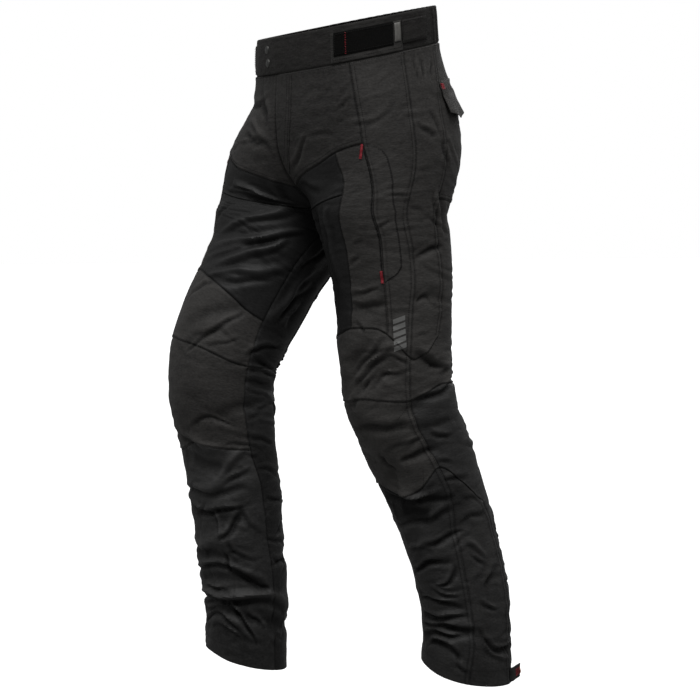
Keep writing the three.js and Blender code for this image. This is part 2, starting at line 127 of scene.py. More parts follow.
def hangLamps():
    for name, (azimuth, elevation, soft, strength) in studio["lamps"].items():
        data = bpy.data.lights.new(name, "SUN")
        data.angle = math.radians(soft)
        data.energy = strength
        lamp = bpy.data.objects.new(name, data)
        direction = directionOf(azimuth, elevation)
        lamp.location = Vector(view["aim"]) + direction * view["distance"]
        lamp.rotation_euler = direction.to_track_quat("Z", "Y").to_euler()
        bpy.context.scene.collection.objects.link(lamp)


def layFloor():
    # A pale floor that takes light and shadow, and throws none back up.
    bpy.ops.mesh.primitive_plane_add(size=2 * studio["floorHalf"], location=(0, 0, studio["floorHeight"]))
    floor = bpy.context.object
    floor.name = "paleFloor"
    paint = bpy.data.materials.new("floorPaint")
    paint.use_nodes = True
    shader = paint.node_tree.nodes["Principled BSDF"]
    shader.inputs["Base Color"].default_value = studio["white"]
    shader.inputs["Roughness"].default_value = 1.0
    shader.inputs["Specular IOR Level"].default_value = 0.0
    floor.data.materials.append(paint)
    floor.visible_diffuse = False
    floor.visible_glossy = False
    floor.select_set(False)


placeCamera()
hangSky()
hangLamps()
layFloor()
print("camera, lamps and floor placed")

# Finishes


class Signal:
    # A shader socket that takes part in sums: each sum adds its Math node.
    def __init__(self, finish, socket):
        self.finish = finish
        self.socket = socket

    def sum(self, operation, *values):
        return self.finish.node("ShaderNodeMath", {"operation": operation}, dict(enumerate(values)))

    def __add__(self, other):
        return self.sum("ADD", self, other)

    __radd__ = __add__

    def __sub__(self, other):
        return self.sum("SUBTRACT", self, other)

    def __rsub__(self, other):
        return self.sum("SUBTRACT", other, self)

    def __mul__(self, other):
        return self.sum("MULTIPLY", self, other)

    __rmul__ = __mul__

    def __truediv__(self, other):
        return self.sum("DIVIDE", self, other)

    def __pow__(self, other):
        return self.sum("POWER", self, other)

    def sine(self):
        return self.sum("SINE", self)

    def least(self, other):
        return self.sum("MINIMUM", self, other)

    def most(self, other):
        return self.sum("MAXIMUM", self, other)

    def ramp(self, low, high):
        # 0 below low, 1 above high
        values = {"Value": self, "From Min": low, "From Max": high}
        return self.finish.node("ShaderNodeMapRange", {"interpolation_type": "SMOOTHSTEP"}, values)


class Finish:
    # One material: its shader, and the nodes that feed it.
    def __init__(self, name, **fixed):
        self.material = bpy.data.materials.new(name)
        self.material.use_nodes = True
        self.tree = self.material.node_tree
        self.shader = self.tree.nodes["Principled BSDF"]
        for socket, value in fixed.items():
            self.shader.inputs[socket.replace("_", " ")].default_value = value

    def node(self, kind, settings, values, output=0):
        item = self.tree.nodes.new(kind)
        for key, value in settings.items():
            setattr(item, key, value)
        for key, value in values.items():
            if isinstance(value, Signal):
                self.tree.links.new(value.socket, item.inputs[key])
            else:
                item.inputs[key].default_value = value
        return Signal(self, item.outputs[output])

    def mix(self, factor, first, second):
        # Colours: first where factor is 0, second where it is 1. Input 6 and 7 of a Mix node are its colours.
        return self.node("ShaderNodeMix", {"data_type": "RGBA"}, {0: factor, 6: first, 7: second}, 2)

    def noise(self, place, scale, detail):
        return self.node("ShaderNodeTexNoise", {}, {"Vector": place, "Scale": scale, "Detail": detail})

    def attribute(self, name):
        return self.node("ShaderNodeAttribute", {"attribute_name": name}, {}, 2)

    def feed(self, socket, signal):
        self.tree.links.new(signal.socket, self.shader.inputs[socket])

    def bump(self, height):
        self.feed("Normal", self.node("ShaderNodeBump", {}, {"Distance": mm, "Height": height}))


weaving = {"twillPower": 0.7, "holeSlant": 0.866, "holeRange": 2.6, "holeFrom": 0.25, "holeTo": 0.8}


def threads(finish, place, pitch, kind):
    # Height of the weave, 0 to 1, over the piece's own map, which is in metres along the cloth.
    across, up = [finish.node("ShaderNodeSeparateXYZ", {}, {0: place}, output) for output in (0, 1)]
    turn = 2 * math.pi / pitch
    if kind == "plain":
        return (across * turn).sine() * (up * turn).sine() * 0.5 + 0.5
    if kind == "twill":
        return (((across + up) * turn).sine() * 0.5 + 0.5) ** weaving["twillPower"]
    # holes in rows, each half a pitch behind the next
    slanted = up * weaving["holeSlant"]
    waves = (across * turn).sine()
    for way in (across * -0.5 + slanted, across * -0.5 - slanted):
        waves = waves + (way * turn).sine()
    return 1 - (waves / weaving["holeRange"]).ramp(weaving["holeFrom"], weaving["holeTo"])


finishes = {
    # darkest and lightest colour, weave with its pitch and height in mm, roughness, share of the crinkles
    "shell": {"dark": 0.0056, "light": 0.0465, "tint": (1.05, 1.0, 0.95), "weave": "plain", "pitch": 1.3,
              "bump": 0.10, "rough": 0.66, "gloss": 0.16, "sheen": 0.02, "crinkle": 0.85},
    "sideCloth": {"dark": 0.0065, "light": 0.0510, "tint": (1.05, 1.0, 0.95), "weave": "plain", "pitch": 1.3,
                  "bump": 0.10, "rough": 0.66, "gloss": 0.16, "sheen": 0.02, "crinkle": 0.85},
    "stretchMesh": {"dark": 0.0016, "light": 0.0165, "tint": (1.0, 1.0, 1.0), "weave": "holes", "pitch": 1.7,
                    "bump": 0.07, "rough": 0.53, "gloss": 0.15, "sheen": 0.008, "crinkle": 0.35},
    "shinCloth": {"dark": 0.0030, "light": 0.0295, "tint": (1.01, 1.0, 0.99), "weave": "plain", "pitch": 1.1,
                  "bump": 0.08, "rough": 0.58, "gloss": 0.16, "sheen": 0.014, "crinkle": 0.9},
    "calfCloth": {"dark": 0.0040, "light": 0.0345, "tint": (1.02, 1.0, 0.985), "weave": "plain", "pitch": 1.2,
                  "bump": 0.09, "rough": 0.6, "gloss": 0.16, "sheen": 0.016, "crinkle": 0.9},
    "bandCloth": {"dark": 0.0022, "light": 0.0290, "tint": (1.05, 1.0, 0.95), "weave": "twill", "pitch": 1.6,
                  "bump": 0.09, "rough": 0.7, "gloss": 0.12, "sheen": 0.014, "crinkle": 1.2},
    "loopTape": {"dark": 0.0010, "light": 0.0080, "tint": (1.03, 1.0, 0.97), "weave": "holes", "pitch": 1.2,
                 "bump": 0.35, "rough": 0.95, "gloss": 0.05, "sheen": 0.008, "crinkle": 0.0},
}
mottles = {
    # places to a metre, detail, contrast, and what it adds to colour, roughness and height in mm
    "patches": (16.0, 4.0, 2.4, 0.15, 0.05, 0.30),
    "blotches": (90.0, 3.0, 2.2, 0.15, 0.0, 0.16),
    "slubs": (430.0, 2.0, 2.4, 0.30, 0.05, 0.10),
    "fuzz": (1500.0, 2.0, 2.0, 0.10, 0.0, 0.03),
    "crinkle": (115.0, 3.0, 2.4, 0.12, 0.0, 0.7),
}
# the slubs and crinkles are drawn out across the leg, and lean a little
lying = {"mottles": ("slubs", "crinkle"), "scale": (0.5, 1.0, 1.0), "turn": (0, 0, 0.12)}
# how much the painted shade and highlight, the wear with its painted highlight and the weave add to the
# colour, and what they add to the roughness
shading = {
    "paintedShadeAndHighlight": 0.40, "wearAndPaintedHighlight": 0.04, "weave": 0.22, "creaseRough": -0.04, "wearRough": -0.03, "sheenRough": 0.5,
}


def clothFinish(name):
    look = finishes[name]
    made = Finish(name, Sheen_Weight=look["sheen"], Sheen_Roughness=shading["sheenRough"],
                  Specular_IOR_Level=look["gloss"])
    place = made.node("ShaderNodeUVMap", {"uv_map": "cloth"}, {})
    mapping = {"Vector": place, "Scale": lying["scale"], "Rotation": lying["turn"]}
    drawnOut = made.node("ShaderNodeMapping", {}, mapping)
    weave = threads(made, place, look["pitch"] * mm, look["weave"])
    # painted shade in creases, seam lines and rims, and painted highlight on fold ridges
    paintedShadeAndHighlight = made.attribute("paintedShadeAndHighlight")
    # wear along the seams, with a painted highlight on the raised seam allowance
    wearAndPaintedHighlight = made.attribute("wearAndPaintedHighlight")
    # painted light and shade of whole places of the cloth
    shade = 0.5 + made.attribute("paintedLightAndShade") + paintedShadeAndHighlight * shading["paintedShadeAndHighlight"] + wearAndPaintedHighlight * shading["wearAndPaintedHighlight"]
    shade = shade + (weave - 0.5) * shading["weave"]
    rough = look["rough"] + paintedShadeAndHighlight * shading["creaseRough"] + wearAndPaintedHighlight * shading["wearRough"]
    height = weave * look["bump"]
    for mottle, (scale, detail, contrast, toShade, toRough, toHeight) in mottles.items():
        noise = made.noise(drawnOut if mottle in lying["mottles"] else place, scale, detail)
        noise = (noise - 0.5) * (contrast * look.get(mottle, 1.0))
        shade = shade + noise * toShade
        if toRough:
            rough = rough + noise * toRough
        height = height + noise * toHeight
    dark, light = [(*(look[end] * part for part in look["tint"]), 1) for end in ("dark", "light")]
    made.feed("Base Color", made.mix(shade.most(0.0).least(1.0), dark, light))
    made.feed("Roughness", rough)
    made.bump(height)
    return made.material


plainFinishes = {
    # name, colour, roughness, metal, gloss, places to a metre and height in mm of its speckle
    "tip": ("paleTip", (0.105, 0.102, 0.095), 0.5, 0.0, 0.4, 160.0, 0.06),
    "metal": ("darkenedMetal", (0.085, 0.085, 0.082), 0.4, 1.0, 0.4, 700.0, 0.02),
    "coil": ("blackCoil", (0.010, 0.010, 0.010), 0.38, 0.0, 0.4, 900.0, 0.02),
    "thread": ("darkThread", (0.0075, 0.0073, 0.0070), 0.7, 0.0, 0.15, 2500.0, 0.03),
    "redThread": ("redThread", (0.25, 0.010, 0.020), 0.5, 0.0, 0.4, 2500.0, 0.03),
    "orangeThread": ("orangeThread", (0.62, 0.17, 0.04), 0.5, 0.0, 0.4, 2500.0, 0.03),
    "print": ("greyPrint", (0.115, 0.115, 0.112), 0.5, 0.0, 0.4, 900.0, 0.03),
}
speckling = {"detail": 3.0, "lighter": 1.35, "darker": 0.7, "rough": 0.2}


def plainFinish(name, colour, rough, metallic, gloss, grainSize, grain):
    made = Finish(name, Metallic=metallic, Specular_IOR_Level=gloss)
    place = made.node("ShaderNodeTexCoord", {}, {}, 3)  # Object coordinates
    speckle = made.noise(place, grainSize, speckling["detail"])
    darker, lighter = [(*(part * speckling[end] for part in colour), 1) for end in ("darker", "lighter")]
    made.feed("Base Color", made.mix(speckle, darker, lighter))
    made.feed("Roughness", rough + (speckle - 0.5) * speckling["rough"])
    made.bump(speckle * grain)
    return made.material


materials = {name: clothFinish(name) for name in finishes}
materials |= {name: plainFinish(*look) for name, look in plainFinishes.items()}
print("finishes mixed")

# Form of the cloth

size = {
    "wall": 1.2, "bandWall": 2.2, "seam": 0.3, "crotch": 780.0, "waistSeam": 1005.0, "waistTop": 1058.0,
    # how far a half may pass the middle plane, and how near to it that is looked at
    "middle": -0.04, "nearMiddle": 60.0,
}
# v x y z across deep tilt roll
legRings = {
    1: np.array([
        (0, 105, 170, -1022, 64, 76, -6, 17),
        (60, 105, 169, -960, 64, 76, -4, 11),
        (120, 105, 162, -902, 64, 76, 0, 6),
        (190, 104, 146, -838, 65, 78, 8, 2),
        (260, 103, 123, -772, 67, 80, 14, 0),
        (330, 102, 96, -705, 71, 81, 16, 0),
        (400, 101, 67, -641, 75, 86, 14, 0),
        (465, 100, 42, -584, 79, 89, 8, 0),
        (535, 99, 32, -513, 80, 90, 2, 0),
        (605, 98, 29, -445, 83, 93, 0, 0),
        (670, 97, 26, -383, 87, 98, 0, 0),
        (730, 96, 16, -326, 91, 104, 0, 0),
        (780, 92.5, 5, -280, 94, 112, 0, 0),
    ], float),
    -1: np.array([
        (0, 105, -125, -1006, 71, 63, -10, -9),
        (60, 105, -126, -937, 71, 65, -6, -5),
        (120, 105, -129, -870, 71, 68, 1, 0),
        (190, 105, -139, -800, 72, 72, 5, 0),
        (260, 104, -147, -730, 73, 73, 5, 0),
        (330, 103, -158, -660, 75, 76, 2, 0),
        (400, 102, -170, -590, 79, 84, -4, 0),
        (465, 101, -167, -525, 82, 89, -14, 0),
        (535, 100, -145, -463, 84, 94, -24, 0),
        (605, 98, -109, -400, 87, 98, -27, 0),
        (670, 97, -74, -350, 90, 102, -26, 0),
        (730, 96, -33, -310, 93, 108, -18, 0),
        (780, 92.5, 5, -280, 94, 112, -8, 0),
    ], float),
}
# v y z across deep tilt
hipRings = np.array([
    (780, 24, -280, 188, 150, 0),
    (840, 28, -222, 190, 152, 2),
    (900, 22, -160, 188, 148, 6),
    (955, 10, -100, 180, 140, 10),
    (1005, 2, -38, 168, 131, 13),
    (1058, 0, 20, 164, 128, 13),
], float)
# v, how far the front thigh steps forward
stepForward = np.array([(600, 0), (660, 4), (720, 34), (780, 68), (840, 80), (890, 64), (930, 34),
                        (965, 0)], float)

# Seams up the cloth: v u
upSeams = {
    "inseam": [(0, -0.035), (260, -0.032), (330, 0), (1058, 0)],
    "strip": [(0, 0.20), (330, 0.25), (480, 0.265), (603, 0.282), (654, 0.294), (714, 0.306), (784, 0.308),
              (830, 0.275), (868, 0.226), (930, 0.2), (1058, 0.2)],
    "zip": [(0, 0.32), (330, 0.36), (480, 0.375), (557, 0.397), (602, 0.397), (682, 0.393), (742, 0.405),
            (802, 0.385), (863, 0.32), (889, 0.299), (970, 0.294), (1058, 0.284)],
    "side": [(0, 0.42), (60, 0.44), (160, 0.44), (245, 0.452), (320, 0.474), (373, 0.465), (436, 0.45),
             (481, 0.451), (556, 0.462), (639, 0.476), (706, 0.484), (810, 0.48), (907, 0.47), (978, 0.492),
             (1058, 0.505)],
    "back": [(0, 0.6), (252, 0.603), (290, 0.585), (430, 0.56), (548, 0.552), (620, 0.572), (706, 0.57),
             (795, 0.57), (845, 0.592), (926, 0.605), (963, 0.64), (1005, 0.675), (1058, 0.675)],
    "inner": [(0, 0.84), (500, 0.86), (1058, 0.86)],
    "end": [(0, 0.965), (260, 0.968), (330, 1), (1058, 1)],
}
upWidths = {"strip": 135, "zip": 50, "side": 42, "back": 50, "inner": 140, "end": 72}
# Seams around the cloth: u v
roundSeams = {
    "hem": [(-0.04, 0), (1, 0)],
    "cupFoot": [(-0.04, 330), (0.08, 334), (0.2, 345), (0.3, 328), (0.38, 332), (0.472, 368), (0.585, 278),
                (0.75, 310), (1, 330)],
    "cupHead": [(-0.04, 464), (0.05, 465), (0.15, 477), (0.25, 482), (0.31, 487), (0.45, 477), (0.56, 497),
                (0.75, 485), (1, 464)],
    "kneeHead": [(-0.04, 543), (0.05, 547), (0.1, 557), (0.18, 572), (0.28, 588), (0.38, 588), (0.43, 560),
                 (0.466, 533), (0.535, 556), (0.56, 583), (0.62, 572), (0.75, 560), (1, 543)],
    "meshCross": [(-0.04, 780), (0, 780), (0.165, 787), (0.263, 806), (0.31, 810), (0.4, 804), (0.6, 798),
                  (0.86, 784), (1, 780)],
    "yoke": [(-0.04, 838), (0, 838), (0.056, 848), (0.169, 865), (0.224, 881), (0.29, 889), (0.5, 889),
             (0.6, 880), (0.86, 850), (1, 838)],
    "waist": [(-0.04, 1005), (1, 1005)],
}
roundWidths = {"cupFoot": 330, "cupHead": 145, "kneeHead": 85, "meshCross": 230, "yoke": 62, "waist": 130}
upSeams = {name: np.array(rows, float) for name, rows in upSeams.items()}
roundSeams = {name: np.array(rows, float) for name, rows in roundSeams.items()}
# Distance around one leg at height v
girth = np.array([(0, 442), (330, 478), (600, 556), (780, 640), (840, 600), (900, 530), (1005, 473),
                  (1058, 462)], float)
# How the rings are squared off, and how the legs go over into the hips
merging = {
    "square": 0.02, "hipGrowth": 1.02, "reach": 130.0, "power": 0.75, "crotchHeight": -280.0,
    "stepPower": 0.7, "stepBack": 0.45, "stepBackFrom": 0.4, "stepBackTo": 0.9,
    # rings averaged up and down: mm, u beside the inseam, v where it starts and stops, number each way
    "soften": 38.0, "softenWithin": 0.09, "softenLow": (620, 700), "softenHigh": (960, 900), "softenCount": 4,
}
seamCorners = {"up": 14.0, "round": 0.02}
nearby = {"u": 0.002, "v": 1.0}  # step for the normals


def read(rows, at):
    # Smooth reading of a table at many places: one array for each column after the first.
    place, values = rows[:, 0], rows[:, 1:]
    slope = np.zeros_like(values)
    slope[1:-1] = (values[2:] - values[:-2]) / (place[2:] - place[:-2])[:, None]
    slope[0] = (values[1] - values[0]) / (place[1] - place[0])
    slope[-1] = (values[-1] - values[-2]) / (place[-1] - place[-2])
    k = np.clip(np.searchsorted(place, at, side="right") - 1, 0, len(place) - 2)
    span = (place[k + 1] - place[k])[..., None]
    t = (at - place[k])[..., None] / span
    out = ((2 * t**3 - 3 * t**2 + 1) * values[k] + (t**3 - 2 * t**2 + t) * span * slope[k]
           + (3 * t**2 - 2 * t**3) * values[k + 1] + (t**3 - t**2) * span * slope[k + 1])
    return np.moveaxis(out, -1, 0)


def curve(rows, at, soft):
    # Straight reading with rounded corners.
    return sum(np.interp(at + shift * soft, rows[:, 0], rows[:, 1]) for shift in (-1, -0.5, 0, 0.5, 1)) / 5


def upLine(name, v):
    return curve(upSeams[name], v, seamCorners["up"])


def roundLine(name, u):
    return curve(roundSeams[name], u, seamCorners["round"])


def girthAt(v):
    return np.interp(v, girth[:, 0], girth[:, 1])


def ringAt(side, u, v):
    # Leg ring below the crotch, drawn over into the ring of the hips above it.
    x, y, z, across, deep, tilt, roll = read(legRings[side], np.minimum(v, size["crotch"]))
    tilt = np.radians(tilt)
    turn = 2 * np.pi * u
    square = 1 - merging["square"] * np.cos(4 * turn)
    out = -np.cos(turn) * across * square
    back = -np.sin(turn) * deep * square
    leg = np.stack([side * (x + out), y + back * np.cos(tilt),
                    z + back * np.sin(tilt) - out * np.tan(np.radians(roll))], -1)
    hipY, hipZ, hipAcross, hipDeep, hipTilt = read(hipRings, np.clip(v, size["crotch"], size["waistTop"]))
    hipTilt = np.radians(hipTilt)
    half = np.pi * u
    square = merging["hipGrowth"] - merging["square"] * np.cos(4 * half)
    around = -np.cos(half) * hipDeep * square
    hips = np.stack([side * np.sin(half) * hipAcross * square, hipY + around * np.cos(hipTilt),
                     hipZ + around * np.sin(hipTilt)], -1)
    above = v > size["crotch"]
    leg[..., 2] += np.where(above, np.sin(half)**2 * (hipZ - merging["crotchHeight"]), 0)
    t = ramp(v, size["crotch"], size["crotch"] + merging["reach"])
    share = np.where(above, np.sin(t * np.pi / 2)**merging["power"], 0)[..., None]
    point = leg * (1 - share) + hips * share
    if side < 0:
        spread = np.maximum(np.sin(np.pi * (u - np.floor(u))), 0)**merging["stepPower"]
        by = np.interp(v, stepForward[:, 0], stepForward[:, 1])
        less = 1 - merging["stepBack"] * ramp(u, merging["stepBackFrom"], merging["stepBackTo"])
        point[..., 1] -= by * spread * less
    return point


def formAt(side, u, v):
    # The smooth form without folds: rings averaged up and down where the leg meets the hips.
    near = u - np.floor(u)
    reach = (merging["soften"] * ramp(np.minimum(near, 1 - near), 0, merging["softenWithin"])
             * ramp(v, *merging["softenLow"]) * ramp(v, *merging["softenHigh"]))
    count = merging["softenCount"]
    total = 0
    for n in range(-count, count + 1):
        total = total + ringAt(side, u, v + n / count * reach) * (count + 1 - abs(n))
    return total / (count + 1)**2


def normalAt(side, u, v):
    above = v >= size["crotch"]
    lowU, highU = u - nearby["u"], u + nearby["u"]
    lowU, highU = np.where(above, np.maximum(lowU, 0), lowU), np.where(above, np.minimum(highU, 1), highU)
    along = formAt(side, highU, v) - formAt(side, lowU, v)
    lowV, highV = np.maximum(v - nearby["v"], 0), np.minimum(v + nearby["v"], size["waistTop"])
    return unit(np.cross(along, formAt(side, u, highV) - formAt(side, u, lowV)) * side)


# Folds

# u1 v1 u2 v2 bow wide deep: from one end to the other, how far the middle bows up the cloth, half width and
# depth (- is a trough). The broad folds are those of the solids.
broadFolds = {
    -1: [
        (0.19, 838, 0.06, 796, -4, 12, 5), (0.17, 806, 0.06, 784, -4, 11, -6),
        (0.20, 662, 0.04, 712, 8, 13, 4), (0.22, 632, 0.06, 696, 6, 11, -6),
        (0.23, 598, 0.06, 668, 8, 11, 4), (0.24, 592, 0.03, 655, -14, 11, -6),
        (0.95, 560, 0.90, 700, 0, 12, -5), (0.24, 494, 0.05, 552, 4, 10, -5),
        (0.22, 466, 0.09, 508, 4, 9, -4), (0.99, 480, 0.80, 476, 0, 9, -5), (0.99, 438, 0.82, 430, 0, 9, -5),
        (0.19, 362, 0.03, 368, 20, 9, -4), (0.09, 388, 0.88, 412, 4, 9, -5),
        (0.27, 322, 0.08, 306, 0, 15, -7), (0.15, 272, 0.01, 298, 0, 10, -5),
        (0.24, 238, 0.04, 222, -4, 15, -7), (0.24, 168, 0.10, 156, 0, 12, -6),
        (0.26, 196, 0.02, 184, 0, 12, 4), (0.27, 124, 0.98, 106, 8, 11, -6), (0.30, 100, 0.96, 96, 0, 10, 4),
        (0.34, 74, 0.90, 62, 8, 10, -7), (0.30, 34, 0.08, 28, 8, 8, -3), (0.86, 330, 0.55, 342, 0, 12, -5),
        (0.86, 250, 0.58, 232, 6, 12, -4), (0.90, 150, 0.52, 128, 6, 12, -5),
        (0.86, 84, 0.50, 72, 4, 11, -6), (0.62, 452, 0.86, 458, 0, 12, -7),
        (0.62, 770, 0.90, 742, 10, 14, -5), (0.34, 520, 0.52, 508, 4, 11, -5),
        (0.36, 410, 0.50, 396, 6, 11, -4),
    ],
    1: [
        (0.24, 770, 0.23, 640, 0, 10, 4), (0.19, 790, 0.18, 650, 0, 10, -5),
        (0.47, 694, 0.58, 722, 6, 10, -5), (0.47, 634, 0.58, 628, 8, 10, -5),
        (0.28, 622, 0.40, 628, -8, 11, -4), (0.36, 566, 0.25, 524, 0, 10, -5),
        (0.41, 546, 0.25, 506, 6, 10, -5), (0.44, 522, 0.27, 494, 10, 9, -4),
        (0.46, 540, 0.60, 512, 4, 10, -6), (0.38, 450, 0.64, 508, 2, 11, -6),
        (0.25, 447, 0.43, 441, 0, 9, -4), (0.44, 428, 0.56, 432, 0, 9, -4),
        (0.36, 388, 0.49, 396, 0, 10, -6), (0.33, 392, 0.30, 352, 0, 10, -5),
        (0.22, 324, 0.44, 314, 0, 12, -6), (0.24, 298, 0.38, 282, 0, 16, -7),
        (0.26, 246, 0.42, 278, 4, 12, -5), (0.33, 222, 0.52, 258, 10, 10, -5),
        (0.24, 186, 0.41, 206, 10, 10, -5), (0.22, 132, 0.43, 112, 0, 11, -5),
        (0.22, 92, 0.42, 84, 0, 9, -5), (0.22, 68, 0.50, 78, 0, 9, -6), (0.22, 48, 0.40, 34, 4, 8, -5),
        (0.46, 50, 0.64, 54, -8, 9, -5), (0.62, 500, 0.90, 494, 4, 12, -8),
        (0.64, 446, 0.90, 436, 0, 11, -5), (0.62, 390, 0.92, 372, 4, 12, -4),
        (0.66, 300, 0.96, 282, 6, 13, -5), (0.64, 190, 0.94, 174, 6, 12, -5),
        (0.62, 92, 0.98, 78, 8, 11, -6), (0.02, 300, 0.20, 286, 4, 12, -5),
        (0.00, 208, 0.18, 196, 4, 12, -5), (0.98, 120, 0.18, 104, 0, 11, -5),
        (0.62, 770, 0.90, 742, 10, 14, -5), (0.02, 620, 0.16, 590, 0, 12, -4),
    ],
}
